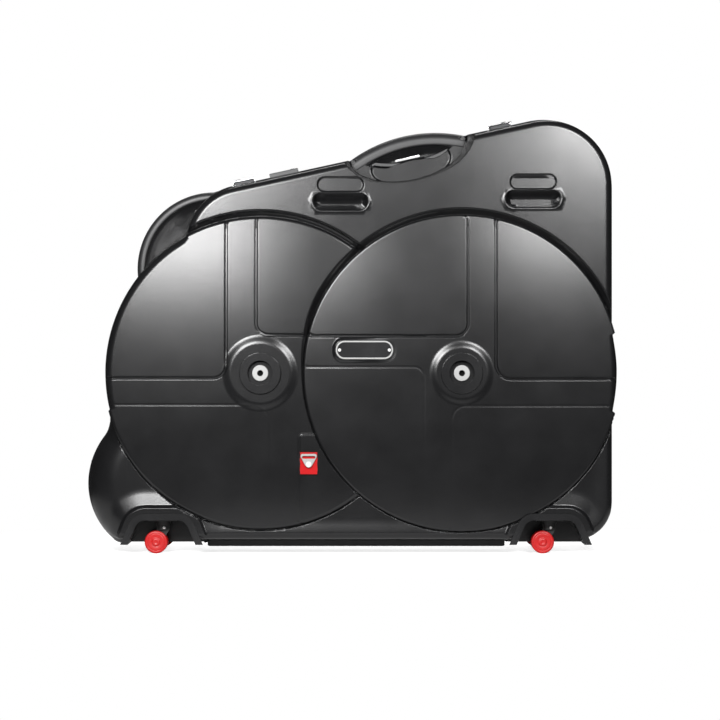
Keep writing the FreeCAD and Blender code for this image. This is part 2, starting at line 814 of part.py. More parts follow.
def hinge_rivets(side):
    """Rivet heads that hold the hinge leaves."""
    low = BODY_BOTTOM - HINGE_THICK - RIVET_HEIGHT
    rivets = []
    for x in HINGE_X:
        for offset in (-RIVET_PITCH / 2, RIVET_PITCH / 2):
            start = V(x + offset, side * RIVET_SETBACK, low)
            rivets.append(rod(start, start + V(0, 0, RIVET_HEIGHT), RIVET_RADIUS))
    return Part.makeCompound(rivets)


def latch_base(side):
    """Latch base on the rear half, with its ears and lever pin."""
    ear = LATCH_HALF + EAR_GAP
    outside = ear + EAR_THICK
    top = LEVER_PIVOT_N + 2 * LEVER_PIN
    shapes = [box(-outside, outside, LATCH_NEAR, LATCH_FAR, 0, LATCH_PLATE)]
    for sign in (-1, 1):
        low, high = sorted((sign * ear, sign * outside))
        shapes.append(box(low, high, LATCH_NEAR, 2 * LEVER_PIVOT_Y - LATCH_NEAR, 0, top))
    start = V(-outside, LEVER_PIVOT_Y, LEVER_PIVOT_N)
    shapes.append(rod(start, V(outside, LEVER_PIVOT_Y, LEVER_PIVOT_N), LEVER_PIN))
    return on_top_line(fuse(shapes), LATCH_X[side])


def key_place(side):
    """Offset of a latch's key cylinder along the lever: towards the end of the case."""
    return -KEY_OFFSET if side == "left" else KEY_OFFSET


def lever_heights():
    """Heights of the underside and top of a latch lever."""
    low = BAIL_PIVOT_N - LEVER_THICK / 2
    return low, low + LEVER_THICK


def latch_lever(side):
    """Lever of a draw latch, with the barrel it turns on."""
    low, high = lever_heights()
    plate = box(-LATCH_HALF, LATCH_HALF, LEVER_PIVOT_Y, LEVER_END, low, high)
    pivot = V(0, LEVER_PIVOT_Y, LEVER_PIVOT_N)
    half = V(LATCH_HALF, 0, 0)
    barrel = rod(pivot - half, pivot + half, 2 * LEVER_PIN)
    bail = V(0, BAIL_PIVOT_Y, BAIL_PIVOT_N)
    bores = [rod(pivot - half, pivot + half, LEVER_PIN + LEVER_PIN_FIT),
             rod(bail - half, bail + half, BAIL_WIRE + BAIL_FIT)]
    key = V(key_place(side), KEY_Y, high - KEY_SEAT)
    bores.append(rod(key, key + V(0, 0, FAR), KEY_RADIUS + KEY_FIT))
    return on_top_line(fuse([plate, barrel]).cut(bores), LATCH_X[side])


def latch_bail(side):
    """Wire bail from the lever round the keeper post."""
    out = LATCH_HALF + EAR_GAP + EAR_THICK + BAIL_SIDE_GAP + BAIL_WIRE
    n = BAIL_PIVOT_N
    shapes = [rod(V(-out, -BAIL_REACH, n), V(out, -BAIL_REACH, n), BAIL_WIRE)]
    for sign in (-1, 1):
        rear = V(sign * out, BAIL_PIVOT_Y, n)
        front = V(sign * out, -BAIL_REACH, n)
        shapes.append(rod(front, rear, BAIL_WIRE))
        shapes.append(rod(V(sign * LATCH_HALF / 2, BAIL_PIVOT_Y, n), rear, BAIL_WIRE))
        shapes.append(Part.makeSphere(BAIL_WIRE, front))
        shapes.append(Part.makeSphere(BAIL_WIRE, rear))
    return on_top_line(fuse(shapes), LATCH_X[side])


def key_cylinder(side):
    """Key cylinder set into a latch lever."""
    high = lever_heights()[1]
    seat = V(key_place(side), KEY_Y, high - KEY_SEAT)
    top = V(key_place(side), KEY_Y, high + KEY_HEIGHT)
    slot = box(-KEY_RADIUS / 2, KEY_RADIUS / 2, -KEY_SLOT / 2, KEY_SLOT / 2, -KEY_SEAT, KEY_SEAT)
    slot.translate(top)
    return on_top_line(rod(seat, top, KEY_RADIUS).cut(slot), LATCH_X[side])


def latch_keeper(side):
    """Keeper on the front half: plate and post for the bail."""
    half = LATCH_HALF + EAR_GAP + EAR_THICK
    rear_face = -BAIL_REACH + BAIL_WIRE + KEEPER_FIT
    plate = box(-half, half, -LATCH_FAR, -LATCH_NEAR, 0, LATCH_PLATE)
    post = box(-LATCH_HALF, LATCH_HALF, rear_face, rear_face + KEEPER_POST, 0, BAIL_PIVOT_N + BAIL_WIRE)
    return on_top_line(fuse([plate, post]), LATCH_X[side])


def lock_block(y0, y1):
    """Flat block of the lock on one half."""
    half = LOCK_LENGTH / 2
    block = box(-half, half, y0, y1, 0, LOCK_HEIGHT)
    edges = [e for e in block.Edges if all(abs(p.Z - LOCK_HEIGHT) < 1e-3 for p in e.Vertexes)]
    return block.makeFillet(LOCK_EDGE, edges)


def button_y():
    """Depth of the lock button: the middle of the lock body."""
    return LATCH_NEAR + LOCK_DEPTH / 2


def lock_body():
    """Lock on the rear half, slotted for its button."""
    body = lock_block(LATCH_NEAR, LATCH_NEAR + LOCK_DEPTH)
    half = BUTTON_STEM / 2 + BUTTON_FIT
    y = button_y()
    slot = box(BUTTON_AT - BUTTON_TRAVEL - half, BUTTON_AT + half, y - half, y + half,
               LOCK_HEIGHT - BUTTON_SINK - BUTTON_FIT, FAR)
    return on_top_line(body.cut(slot), LOCK_X)


def lock_button():
    """Sliding button of the lock."""
    y = button_y()
    half = BUTTON_SIZE / 2
    stem = BUTTON_STEM / 2
    low = LOCK_HEIGHT + BUTTON_FIT
    cap = box(BUTTON_AT - half, BUTTON_AT + half, y - half, y + half, low, low + BUTTON_HEIGHT)
    foot = box(BUTTON_AT - stem, BUTTON_AT + stem, y - stem, y + stem, LOCK_HEIGHT - BUTTON_SINK, low)
    return on_top_line(fuse([cap, foot]), LOCK_X)


def lock_keeper():
    """Catch block of the lock on the front half."""
    return on_top_line(lock_block(-LATCH_NEAR - LOCK_DEPTH, -LATCH_NEAR), LOCK_X)


def nameplate():
    """Blank nameplate on the right disc."""
    half = NAMEPLATE_LENGTH / 2
    rise = NAMEPLATE_HEIGHT / 2
    x, z, r = NAMEPLATE_X, NAMEPLATE_Z, NAMEPLATE_CORNER
    corners = [(x - half, z - rise, r), (x + half, z - rise, r),
               (x + half, z + rise, r), (x - half, z + rise, r)]
    return prism(corners, -DISC_FACE["right"] - NAMEPLATE_THICK, -DISC_FACE["right"])


def nameplate_rivets():
    """Rivet heads at the ends of the nameplate."""
    face = -DISC_FACE["right"] - NAMEPLATE_THICK
    rivets = []
    for offset in (-NAMEPLATE_RIVET_PITCH / 2, NAMEPLATE_RIVET_PITCH / 2):
        start = V(NAMEPLATE_X + offset, face, NAMEPLATE_Z)
        rivets.append(rod(start, start - V(0, RIVET_HEIGHT, 0), RIVET_RADIUS))
    return Part.makeCompound(rivets)


def tow_y():
    """Depth of the middle of the tow ring's wire."""
    return -DISC_FACE["left"] - RING_STANDOFF - RING_WIRE


def tow_rivet():
    """Headed rivet that carries the tow ring."""
    foot = V(TOW_X, -DISC_FACE["left"], TOW_Z)
    under_head = V(TOW_X, tow_y() - RING_WIRE - TOW_FIT, TOW_Z)
    shank = rod(foot, under_head, TOW_SHANK)
    head = rod(under_head, under_head - V(0, TOW_RIVET_HEAD, 0), TOW_RIVET)
    return fuse([shank, head])


def tow_ring():
    """Three-sided wire ring with the eye that turns on the rivet."""
    y = tow_y()
    top = TOW_Z + RING_RISE
    left = V(TOW_X - RING_HALF, y, top)
    right = V(TOW_X + RING_HALF, y, top)
    eye = V(TOW_X, y, TOW_Z)
    shapes = [rod(left, right, RING_WIRE)]
    for corner in (left, right):
        shapes.append(rod(corner, eye, RING_WIRE))
        shapes.append(Part.makeSphere(RING_WIRE, corner))
    shapes.append(rod(eye - V(0, RING_WIRE, 0), eye + V(0, RING_WIRE, 0), RING_EYE))
    bore = rod(eye - V(0, FAR, 0), eye + V(0, FAR, 0), TOW_SHANK + TOW_FIT)
    return fuse(shapes).cut(bore)


def tow_tab():
    """Webbing tab looped over the ring's bar, its tail lying behind the ring."""
    y = tow_y()
    half = TAB_WIDTH / 2
    top = TOW_Z + RING_RISE
    inner = RING_WIRE + TAB_FIT
    outer = inner + TAB_THICK
    start = V(TOW_X - half, y, top)
    end = V(TOW_X + half, y, top)
    loop = rod(start, end, outer)
    back = y + outer
    tail = box(TOW_X - half, TOW_X + half, y + inner, back, top - TAB_TAIL, top)
    shank = TOW_SHANK + TAB_FIT
    clear = [rod(start, end, inner),
             box(TOW_X - half, TOW_X + half, y - outer, y + inner, top - outer, top - inner / 2),
             rod(V(TOW_X, -FAR, TOW_Z), V(TOW_X, FAR, TOW_Z), shank)]
    return fuse([loop, tail]).cut(clear)


def main():
    """Builds every piece and writes each to its own file."""
    inside = half_inside()
    shell = half_shell(inside)
    rim = ring_between(WALL, WALL + RIM_THICK, -HALF_GAP - RIM_DEPTH, -HALF_GAP)
    seal = ring_between(WALL + SEAL_INSET, WALL + SEAL_INSET + SEAL_WIDTH, -HALF_GAP, HALF_GAP - SEAL_FIT)
    pad = foam_pad(inside)

    pieces = {
        "front_shell": shell,
        "rear_shell": to_rear(shell),
        "front_rim": rim,
        "rear_rim": to_rear(rim),
        "rim_seal": to_rear(seal),
        "front_foam_pad": pad,
        "rear_foam_pad": to_rear(pad),
        "front_runner": runner(),
        "rear_runner": to_rear(runner()),
        "top_handle": top_handle(),
        "corner_handle": corner_handle(),
        "lock_body": lock_body(),
        "lock_keeper": lock_keeper(),
        "lock_button": lock_button(),
        "nameplate": nameplate(),
        "nameplate_rivets": nameplate_rivets(),
        "tow_rivet": tow_rivet(),
        "tow_ring": tow_ring(),
        "tow_tab": tow_tab(),
        "front_hinge_rivets": hinge_rivets(-1),
        "rear_hinge_rivets": hinge_rivets(1),
        "hinge_pins": Part.makeCompound(
            [rod(V(x - HINGE_WIDTH / 2, 0, hinge_axis_z()), V(x + HINGE_WIDTH / 2, 0, hinge_axis_z()),
                 PIN_RADIUS) for x in HINGE_X]),
    }
    front_leaves = Part.makeCompound([hinge_leaf(x, middle_span(), -1) for x in HINGE_X])
    rear_leaves = Part.makeCompound([hinge_leaf(x, outer_spans(), 1) for x in HINGE_X])
    pieces["front_hinge_leaves"] = front_leaves.cut(hinge_bore(PIN_RADIUS + PIN_FIT))
    pieces["rear_hinge_leaves"] = rear_leaves.cut(hinge_bore(PIN_RADIUS))

    pairs = {
        "hub_collars": hub_collar,
        "hub_bushes": hub_bush,
        "wheel_studs": wheel_stud,
        "caster_housings": caster_housing,
        "caster_plates": caster_plate,
    }
    for name, make in pairs.items():
        front = Part.makeCompound([make(side) for side in HUB_X])
        pieces["front_" + name] = front
        pieces["rear_" + name] = to_rear(front)

    singles = {
        "clamp_knob": clamp_knob,
        "caster_fork": caster_fork,
        "caster_axle": caster_axle,
        "caster_wheels": caster_wheels,
    }
    for side in HUB_X:
        for name, make in singles.items():
            front = make(side)
            pieces["front_" + side + "_" + name] = front
            pieces["rear_" + side + "_" + name] = to_rear(front)
        pieces[side + "_latch_base"] = latch_base(side)
        pieces[side + "_latch_keeper"] = latch_keeper(side)
        pieces[side + "_latch_lever"] = latch_lever(side)
        pieces[side + "_latch_bail"] = latch_bail(side)
        pieces[side + "_key_cylinder"] = key_cylinder(side)

    os.makedirs("parts", exist_ok=True)
    for name, shape in pieces.items():
        shape.exportStep("parts/" + name + ".step")


main()
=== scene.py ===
import json
import math
from functools import partial

import bmesh
import bpy
import numpy as np
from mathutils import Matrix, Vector
from mathutils.geometry import delaunay_2d_cdt


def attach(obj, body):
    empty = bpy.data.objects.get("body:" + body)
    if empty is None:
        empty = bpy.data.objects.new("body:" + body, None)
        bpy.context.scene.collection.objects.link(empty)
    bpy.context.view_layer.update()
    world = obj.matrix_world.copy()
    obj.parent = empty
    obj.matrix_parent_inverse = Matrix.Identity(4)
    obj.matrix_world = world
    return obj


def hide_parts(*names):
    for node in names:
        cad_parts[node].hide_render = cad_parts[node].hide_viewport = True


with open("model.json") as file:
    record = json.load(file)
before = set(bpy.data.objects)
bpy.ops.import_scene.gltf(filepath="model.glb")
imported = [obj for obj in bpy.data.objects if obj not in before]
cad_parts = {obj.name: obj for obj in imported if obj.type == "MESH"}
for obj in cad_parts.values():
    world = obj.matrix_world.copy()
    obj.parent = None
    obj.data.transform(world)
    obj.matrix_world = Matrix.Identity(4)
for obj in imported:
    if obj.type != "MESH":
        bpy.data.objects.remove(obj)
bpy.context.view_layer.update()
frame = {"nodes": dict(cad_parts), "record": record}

MM = 0.001
TOUCH = 0.01
OUTSIDE = -1000.0

# Sizes in millimetres, as in the solids. Depth is the distance from the parting plane of the two
# halves. A place on the front is (x, z).

# Body of the case; its top line climbs to the right
SLOPE = math.radians(12.3)
SIN, COS, TAN = math.sin(SLOPE), math.cos(SLOPE), math.tan(SLOPE)
TOP = 882.4
RIGHT, LEFT, BOTTOM, FACE = 585.0, -380.0, 22.0, 162.0
BODY_R = {"low": 90.0, "right": 156.0, "left": 141.0}
DRAFT, FACE_ROUND = 12.7, 16.0
CROWN, CROWN_FROM, CROWN_REACH = 1.5, 28.0, 70.0
SINK, SINK_LEVELS, SINK_EDGE = 5.0, (420, 120), (20, 60)
WALL, RIM_BAND, RIM_LOW, HALF_GAP, WEB = 3.2, 30.0, 10.0, 1.0, 6.0
CENTRE = (0.0, 430.0)

# Round bulges for the wheels, the gap round each (width and depth, below and more above) and its boss
HUB = {"left": (-204.0, 401.0), "right": (241.0, 401.0)}
DISC_R = 355.0
DISC_EDGE_R = {"left": 347.0, "right": 351.0}
DISC_FACE = {"left": 160.0, "right": 163.0}
DISC_ROUND = {"left": 8.0, "right": 5.5}
DISC_WALL, DISC_BARE, DISC_LAP = 1.5, 20.0, 1.4
DOME, UNDER_DISC = 13.0, 148.0
GAP_WIDTH, GAP_DEPTH, GAP_LIP, GAP_FLOOR = (2.6, 8.4), (3.0, 18.0), 0.25, 0.85
BOSS = {"left": (86.0, 64.0), "right": (72.5, 54.0)}
BOSS_FACE = {"left": 177.8, "right": 180.0}
BOSS_REACH, BORE_R, BORE_DEEP = 90.0, 34.0, 7.0

# Lobe at the lower left (x, z, radius), its foot and the hollow rounding above it
LOBE = (-426.0, 155.0, 170.0)
FOOT = (-506.0, 87.0, 65.0)
WAIST_R = 70.0
LOBE_FACE, WAIST_FACE, LOBE_DRAFT, LOBE_ROUND, LOBE_BLEND = 152.0, 148.0, 8.0, 70.0, 14.0

# Caster arches, the flare over them and the casters
SWIVEL = {"left": -422.0, "right": 437.0}
ARCH_HALF, ARCH_TOP, ARCH_R, LEAN = 52.0, 76.0, 24.0, 23.0 / 54.0
REBATE, WELL_BACK = 15.3, 63.0
FLARE_REACH, FLARE_FACE, FLARE_ROUND, FLARE_LOW = 72.0, 170.0, 14.0, 4.0
FLARE_STEP, FLARE_SHARE, FLARE_EASE = (34, 26), 0.34, 0.4
CASTER_Y, CASTER_TRAIL, WHEEL_R = 116.0, 15.0, 25.5
FORK_COLLAR, FORK_RIVET = 14.0, (3.0, 57.5)

# Scoop under the top handle, in slope coordinates; pocket floor, trench under the bar and slit
SCOOP_X, SCOOP_A, SCOOP_B, SCOOP_RISE, SCOOP_FLOOR = 124.0, 147.0, 84.0, 57.0, 17.0
SCOOP_LIP, SCOOP_RAMP, SCOOP_WALL, SCOOP_BLEND, SCOOP_OPEN = 4.0, 4.0, (-5, 16), 8.0, 110.0
SCOOP_HIGHEST, SCOOP_BELOW = 260.0, 40.0
POCKET_DOWN, POCKET_A, POCKET_B, POCKET_END = 36.0, 88.0, 42.0, 22.0
TRENCH_R, TRENCH_UP, TRENCH_EDGE, TRENCH_HALF = 266.0, 43.0, 4.0, 132.0
TRENCH_FLOOR = (277.0, 4.5, 20.0)
SLIT_HALF, SLIT_RISE, SLIT_DOWN, SLIT_R = 29.0, 2.4, 22.0, 2.0

# Handle bars: centre below the top line, inner and outer radius, half angle; inner and outer radius,
# first and last angle; the web behind the corner bar
TOP_BAR = (-295.1, 295.1, 324.1, 24.6)
CORNER_BAR = (155.2, 174.0, 88.0, 188.0)
BAR_HALF, BAR_UNDER, CORNER_BAR_ROUND, TOP_BAR_ROUND = 23.0, 4.0, 11.0, 17.0
BAR_UNDERSIDE, BAR_SPAN = (-295.4, 294.8), 82.0
FLANGE = (-314.0, 635.9, 154.7)
FLANGE_COVE = ((90, 137, 150, FLANGE[2]), (WEB, 14.0, 18.5, 21.5))

# Grip pockets (length, height, radius), the ledge above each (up, length, height, radius), depths
GRIPS = ((-27.0, 781.0), (399.0, 787.0))
GRIP_PILL, GRIP_LEDGE = (120.0, 38.0, 19.0), (37.0, 106.0, 36.0, 18.0)
GRIP_DEEP, LEDGE_DEEP, GRIP_LIP, GRIP_TURN = 21.0, 4.0, 1.5, 5.0

# Nameplate (x, z, length, height, radius) with its seat, tow plate with its seat
PLATE = (26.0, 452.0, 126.0, 40.0, 16.0)
PLATE_SEAT, PLATE_SEAT_EDGE, PLATE_RIM_R = 173.0, (-9, -0.6), 3.4
TOW = (-97.0, 200.0)
TOW_SEAT, TOW_SEAT_EDGE = 168.0, (34, 12)

# Lining: its edge above the scoop, its clearances, the ditch under the gap round a disc, and the swelling
# behind a grip pocket (up, length, height, radius)
HOLLOW_RISE, LINING_CLEAR, LINING_UNDER, LINING_LAP, LINING_ROUND = 41.0, 16.0, 3.0, 13.0, 12.0
DITCH_INSIDE, DITCH_OUTSIDE, DITCH_DEEPER = (-15, -11), (16, 6), 8.0
LINING_GRIP = (12.0, 122.0, 58.0, 29.0)

# Foam pads
FOAM_MARGIN, FOAM_LOW, FOAM_HOLE, FOAM_PITCH = 24.0, 112.0, 80.0, 36.0
FOAM_BACK, FOAM_LEAST, FOAM_GLUE, FOAM_THICK, FOAM_PEAK = 158.0, 90.0, 0.6, 5.0, 6.0
FOAM_SCOOP, FOAM_REACH = -12.0, 14.0

# Panel lines on the discs: hub side, corner x, corner z, corner radius, x direction, z direction of
# the panel, depth of the line
PANELS = (
    ("right", 254.6, 483.0, 28.0, -1, 1, 4.5),
    ("right", 316.4, 388.0, 33.0, 1, 1, 4.5),
    ("right", 219.0, 328.5, 31.0, 1, -1, 0.3),
    ("right", 157.4, 414.5, 22.0, -1, -1, 0.3),
    ("left", -279.5, 390.0, 29.0, -1, 1, 4.5),
    ("left", -213.0, 485.0, 27.0, 1, 1, 4.5),
    ("left", -182.0, 331.0, 42.0, -1, -1, 0.3),
    ("left", -118.0, 267.0, 8.0, 1, -1, 1.6),
)
LINE_HALF, LINE_CURL, LINE_STEP, LINE_REACH = 4.0, 16.0, 0.31, 420.0

# Pitch of the points that the skins are drawn through
ROW_STEP, GRID_PITCH, FINE_PITCH, LINING_STEP, LINING_PITCH = 4.5, 9.0, 2.6, 7.0, 14.0


def smooth(a, b, v):
    t = np.clip((v - a) / (b - a), 0, 1)
    return t * t * (3 - 2 * t)


def soft_max(a, b, k):
    h = np.clip(0.5 + 0.5 * (a - b) / k, 0, 1)
    return b + (a - b) * h + k * h * (1 - h)


def unit(v):
    return v / np.linalg.norm(v, axis=-1, keepdims=True)


def within(x, z, lines, corners):
    """Distance inside a convex outline of lines (normal, offset) and rounded corners (i, j, radius)."""
    d = np.minimum.reduce([c - (nx * x + nz * z) for nx, nz, c in lines])
    for i, j, r in corners:
        ax, az, ac = lines[i]
        bx, bz, bc = lines[j]
        det = ax * bz - az * bx
        px = x - ((ac - r) * bz - (bc - r) * az) / det
        pz = z - (ax * (bc - r) - bx * (ac - r)) / det
        a = (px * bz - pz * bx) / det
        b = (ax * pz - az * px) / det
        d = np.where((a > 0) & (b > 0), r - np.hypot(px, pz), d)
    return d


BODY_LINES = ((0, -1, -BOTTOM), (1, 0, RIGHT), (-SIN, COS, TOP * COS), (-1, 0, -LEFT))
BODY_CORNERS = ((0, 1, BODY_R["low"]), (1, 2, BODY_R["right"]), (2, 3, BODY_R["left"]))


def in_body(x, z):
    return within(x, z, BODY_LINES, BODY_CORNERS)


def from_hub(side, x, z):
    return np.hypot(x - HUB[side][0], z - HUB[side][1])


def in_disc(side, x, z):
    return DISC_R - from_hub(side, x, z)


def in_foot(x, z):
    """Distance inside the bottom line and the rounding where the lobe turns under."""
    px, pz = x - FOOT[0], z - FOOT[1]
    nx, nz = FOOT[0] - LOBE[0], FOOT[1] - LOBE[1]
    beside = (px < 0) & (px * nz - pz * nx < 0)
    return np.where(beside, FOOT[2] - np.hypot(px, pz), z - BOTTOM)


def in_round(x, z):
    return LOBE[2] - np.hypot(x - LOBE[0], z - LOBE[1])


def waist_centre():
    """Centre of the hollow rounding between the left disc and the lobe."""
    a, b = np.array(HUB["left"]), np.array(LOBE[:2])
    ra, rb = DISC_R + WAIST_R, LOBE[2] + WAIST_R
    gap = np.linalg.norm(b - a)
    along = (ra ** 2 - rb ** 2 + gap ** 2) / (2 * gap)
    t = (b - a) / gap
    return a + t * along + math.sqrt(ra ** 2 - along ** 2) * np.array((t[1], -t[0]))


WAIST = waist_centre()


def in_waist(x, z):
    """Distance inside the hollow rounding, for points between it and the two centres it joins."""
    px, pz = x - WAIST[0], z - WAIST[1]
    ax, az = HUB["left"][0] - WAIST[0], HUB["left"][1] - WAIST[1]
    bx, bz = LOBE[0] - WAIST[0], LOBE[1] - WAIST[1]
    between = (ax * pz - az * px) * (ax * bz - az * bx) > 0
    between &= (bx * pz - bz * px) * (bx * az - bz * ax) > 0
    between &= ((px - ax) * (bz - az) - (pz - az) * (bx - ax)) * (az * bx - ax * bz) > 0
    return np.where(between, np.hypot(px, pz) - WAIST_R, OUTSIDE)


def in_lobe(x, z):
    return np.maximum(np.minimum(in_round(x, z), in_foot(x, z)), in_waist(x, z))


FORMS = {"body": in_body, "lobe": in_lobe, **{side: partial(in_disc, side) for side in HUB}}


def in_outline(x, z):
    return np.maximum.reduce([form(x, z) for form in FORMS.values()])


def from_arch(side, x, z):
    """Distance outside the opening of a caster arch."""
    h = math.hypot(1, LEAN)
    c = (ARCH_HALF + LEAN * ARCH_TOP) / h
    lines = ((1 / h, LEAN / h, c), (-1 / h, LEAN / h, c), (0, 1, ARCH_TOP))
    return -within(x - SWIVEL[side], z, lines, ((0, 2, ARCH_R), (2, 1, ARCH_R)))


def in_flange(x, z):
    """Distance inside the web behind the corner bar, which runs down into the left disc."""
    ring = FLANGE[2] - np.hypot(x - FLANGE[0], z - FLANGE[1])
    leg = [x - FLANGE[0] + FLANGE[2], FLANGE[0] - x, z - HUB["left"][1], FLANGE[1] - z]
    return np.maximum(ring, np.minimum.reduce(leg))


def in_box(x, z, cx, cz, length, tall, r):
    """Distance inside a rectangle with rounded corners."""
    qx = np.abs(x - cx) - (length / 2 - r)
    qz = np.abs(z - cz) - (tall / 2 - r)
    return r - np.hypot(np.maximum(qx, 0), np.maximum(qz, 0)) - np.minimum(np.maximum(qx, qz), 0)


def in_panel(panel, x, z):
    """Distance inside a panel, whose line curls along the edge of the disc."""
    side, cx, cz, r, sx, sz, _ = panel
    d = within(x, z, ((-sx, 0, -sx * cx), (0, -sz, -sz * cz)), ((0, 1, r),))
    rim = DISC_EDGE_R[side] + LINE_HALF - from_hub(side, x, z)
    curl = LINE_CURL - np.hypot(LINE_CURL - d, LINE_CURL - rim)
    plain = np.minimum(d, np.maximum(rim, LINE_HALF))
    return np.where((d < LINE_CURL) & (rim < LINE_CURL), curl, plain)


def on_slope(x, z):
    """Coordinates along the top line from the middle of the top handle, and above that line."""
    u = (x - SCOOP_X) * COS + (z - TOP - TAN * SCOOP_X) * SIN
    return u, (z - TOP - TAN * x) * COS


def from_slope(u, w):
    x = SCOOP_X + u * COS - w * SIN
    return np.stack([x, TOP + TAN * SCOOP_X + u * SIN + w * COS], -1)


def scoop_edge(u):
    return -SCOOP_B * np.sqrt(np.clip(1 - (u / SCOOP_A) ** 2, 0, 1))


def in_scoop(u, w):
    """Distance inside the lower half of the oval scoop under the top handle, near its edge."""
    f = np.maximum(np.hypot(u / SCOOP_A, w / SCOOP_B), 0.05)
    return (1 - f) * f / np.hypot(u / SCOOP_A ** 2, w / SCOOP_B ** 2)


def drafted(d, face, width, radius):
    """Depth over an edge: straight rim, drafted wall of that width, rounding to the face."""
    slope = (face - RIM_BAND) / width
    turn = math.atan(slope)
    end = width + radius * math.tan(turn / 2)
    arc = face - radius + np.sqrt(np.clip(radius ** 2 - (end - d) ** 2, 0, None))
    h = np.where(d < end, arc, face)
    h = np.where(d < end - radius * math.sin(turn), RIM_BAND + slope * d, h)
    return np.where(d < -1e-6, OUTSIDE, h)


def rounded(d, face, radius):
    h = face - radius + np.sqrt(np.clip(radius ** 2 - np.clip(radius - d, 0, None) ** 2, 0, None))
    return np.where(d < -1e-6, OUTSIDE, h)


def gap_width(side, x, z):
    """Width and depth of the gap round a disc: wide over its upper half, a fine line below."""
    t = smooth(-0.08, 0.5, (z - HUB[side][1]) / np.maximum(from_hub(side, x, z), 1))
    return [least + more * t for least, more in (GAP_WIDTH, GAP_DEPTH)]


def beside_disc(h, side, x, z):
    """Lowers what lies beside a disc to the floor of the gap round it."""
    width, depth = gap_width(side, x, z)
    e = from_hub(side, x, z) - DISC_EDGE_R[side] - width
    lip = GAP_LIP * depth
    arc = lip - np.sqrt(np.clip(lip ** 2 - np.clip(lip - e, 0, lip) ** 2, 0, None))
    wall = lip + (depth - lip) * np.clip(-e / (GAP_FLOOR * width), 0, 1)
    return h - np.where(e > 0, arc, wall)


def disc_height(side, x, z, inset, fine):
    """Depth of a disc: domed, with its panel lines, its boss and the seat of what is fixed to it."""
    r = from_hub(side, x, z)
    face = DISC_FACE[side] - inset
    edge = DISC_EDGE_R[side]
    dome = DOME * np.clip(1 - (r / edge) ** 2, 0, 1)
    if fine:
        h = drafted(edge + DISC_WALL - r, face, DISC_WALL, DISC_ROUND[side])
        shown = drafted(in_disc(side, x, z), face, DRAFT, FACE_ROUND)
        bare = in_outline(x, z) < in_disc(side, x, z) + TOUCH
        bare = smooth(DISC_BARE, 0, in_body(x, z)) * smooth(DISC_BARE, 0, in_lobe(x, z)) * bare
        past = np.where(bare > 0, shown, h)
        h = np.where(h < OUTSIDE / 2, past, h + (np.minimum(h, shown) - h) * bare) + dome
        for panel in PANELS:
            if panel[0] == side:
                d = in_panel(panel, x, z)
                t = np.clip(1 - (d / LINE_HALF) ** 2, 0, 1)
                h = h - panel[6] * t * np.sqrt(t) + LINE_STEP * panel[6] * smooth(-1.5, 3.0, d)
        if side == "right":
            h = h + (PLATE_SEAT - h) * smooth(*PLATE_SEAT_EDGE, in_box(x, z, *PLATE)) * (r < edge - DISC_BARE)
        else:
            h = h + (TOW_SEAT - h) * smooth(*TOW_SEAT_EDGE, np.hypot(x - TOW[0], z - TOW[1]))
    else:
        h = drafted(DISC_R - inset - r, face, DRAFT, LINING_ROUND) + dome
    rise = BOSS_FACE[side] - inset
    return np.where(r < BOSS_REACH, h + (rise - h) * smooth(*BOSS[side], r), h)


def plain_face(x, z, inset):
    """Depth of the body and the lobe, without the discs."""
    d = in_body(x, z) - inset
    body = drafted(d, FACE - inset, DRAFT, FACE_ROUND - inset)
    crown = CROWN * (1 - np.exp(-np.clip(d - CROWN_FROM, 0, None) / CROWN_REACH))
    body = body + crown - SINK * smooth(*SINK_LEVELS, z) * smooth(*SINK_EDGE, d)
    low = rounded(in_foot(x, z) - inset, LOBE_FACE - inset, FACE_ROUND)
    lobe = drafted(in_round(x, z) - inset, LOBE_FACE - inset, LOBE_DRAFT, LOBE_ROUND)
    waist = drafted(in_waist(x, z) - inset, WAIST_FACE - inset, LOBE_DRAFT, LOBE_ROUND)
    return soft_max(body, np.maximum(np.minimum(lobe, low), waist), LOBE_BLEND)


def flared(base, x, z, inset):
    """Raises the face towards each caster arch by a long ramp and a step."""
    around = np.maximum(in_body(x, z), in_lobe(x, z)) - inset
    border = np.minimum(drafted(around, FLARE_FACE - inset, DRAFT, FLARE_ROUND),
                        rounded(z - BOTTOM - inset, FLARE_FACE, FLARE_LOW))
    half_ease = FLARE_EASE / 2
    for side in SWIVEL:
        e = from_arch(side, x, z) + inset
        t = np.clip((FLARE_REACH - e) / (FLARE_REACH - FLARE_STEP[0]), 0, 1)
        t = np.where(t < FLARE_EASE, t * t / (2 * FLARE_EASE), t - half_ease) / (1 - half_ease)
        share = FLARE_SHARE * t + (1 - FLARE_SHARE) * smooth(*FLARE_STEP, e)
        ramp = base + (border - base) * share
        near = (base > OUTSIDE / 2) & (border > OUTSIDE / 2) & (e < FLARE_REACH)
        base = np.where(near, np.maximum(base, ramp), base)
    return base


def gripped(base, x, z, fine):
    """Sinks the grip pockets, which are deepest along their upper edge, and the ledges above them."""
    up, *ledge = GRIP_LEDGE if fine else LINING_GRIP
    for gx, gz in GRIPS:
        if not fine:
            base = base - GRIP_DEEP * smooth(-4, 3, in_box(x, z, gx, gz + up, *ledge))
            continue
        shelf = LEDGE_DEEP * smooth(-0.5, 5, in_box(x, z, gx, gz + up, *ledge))
        d = in_box(x, z, gx, gz, *GRIP_PILL)
        wall = 1 - (1 - np.clip(d / GRIP_TURN, 0, 1)) ** 2
        deep = GRIP_DEEP * np.minimum(wall, np.clip((gz + 19.5 - z) / 20, 0, 1))
        lip = GRIP_LIP * smooth(-9, -4, d) * smooth(0.5, -3.5, d) * smooth(gz + 22, gz + 12, z)
        base = base + lip - np.maximum(shelf, deep)
    return base


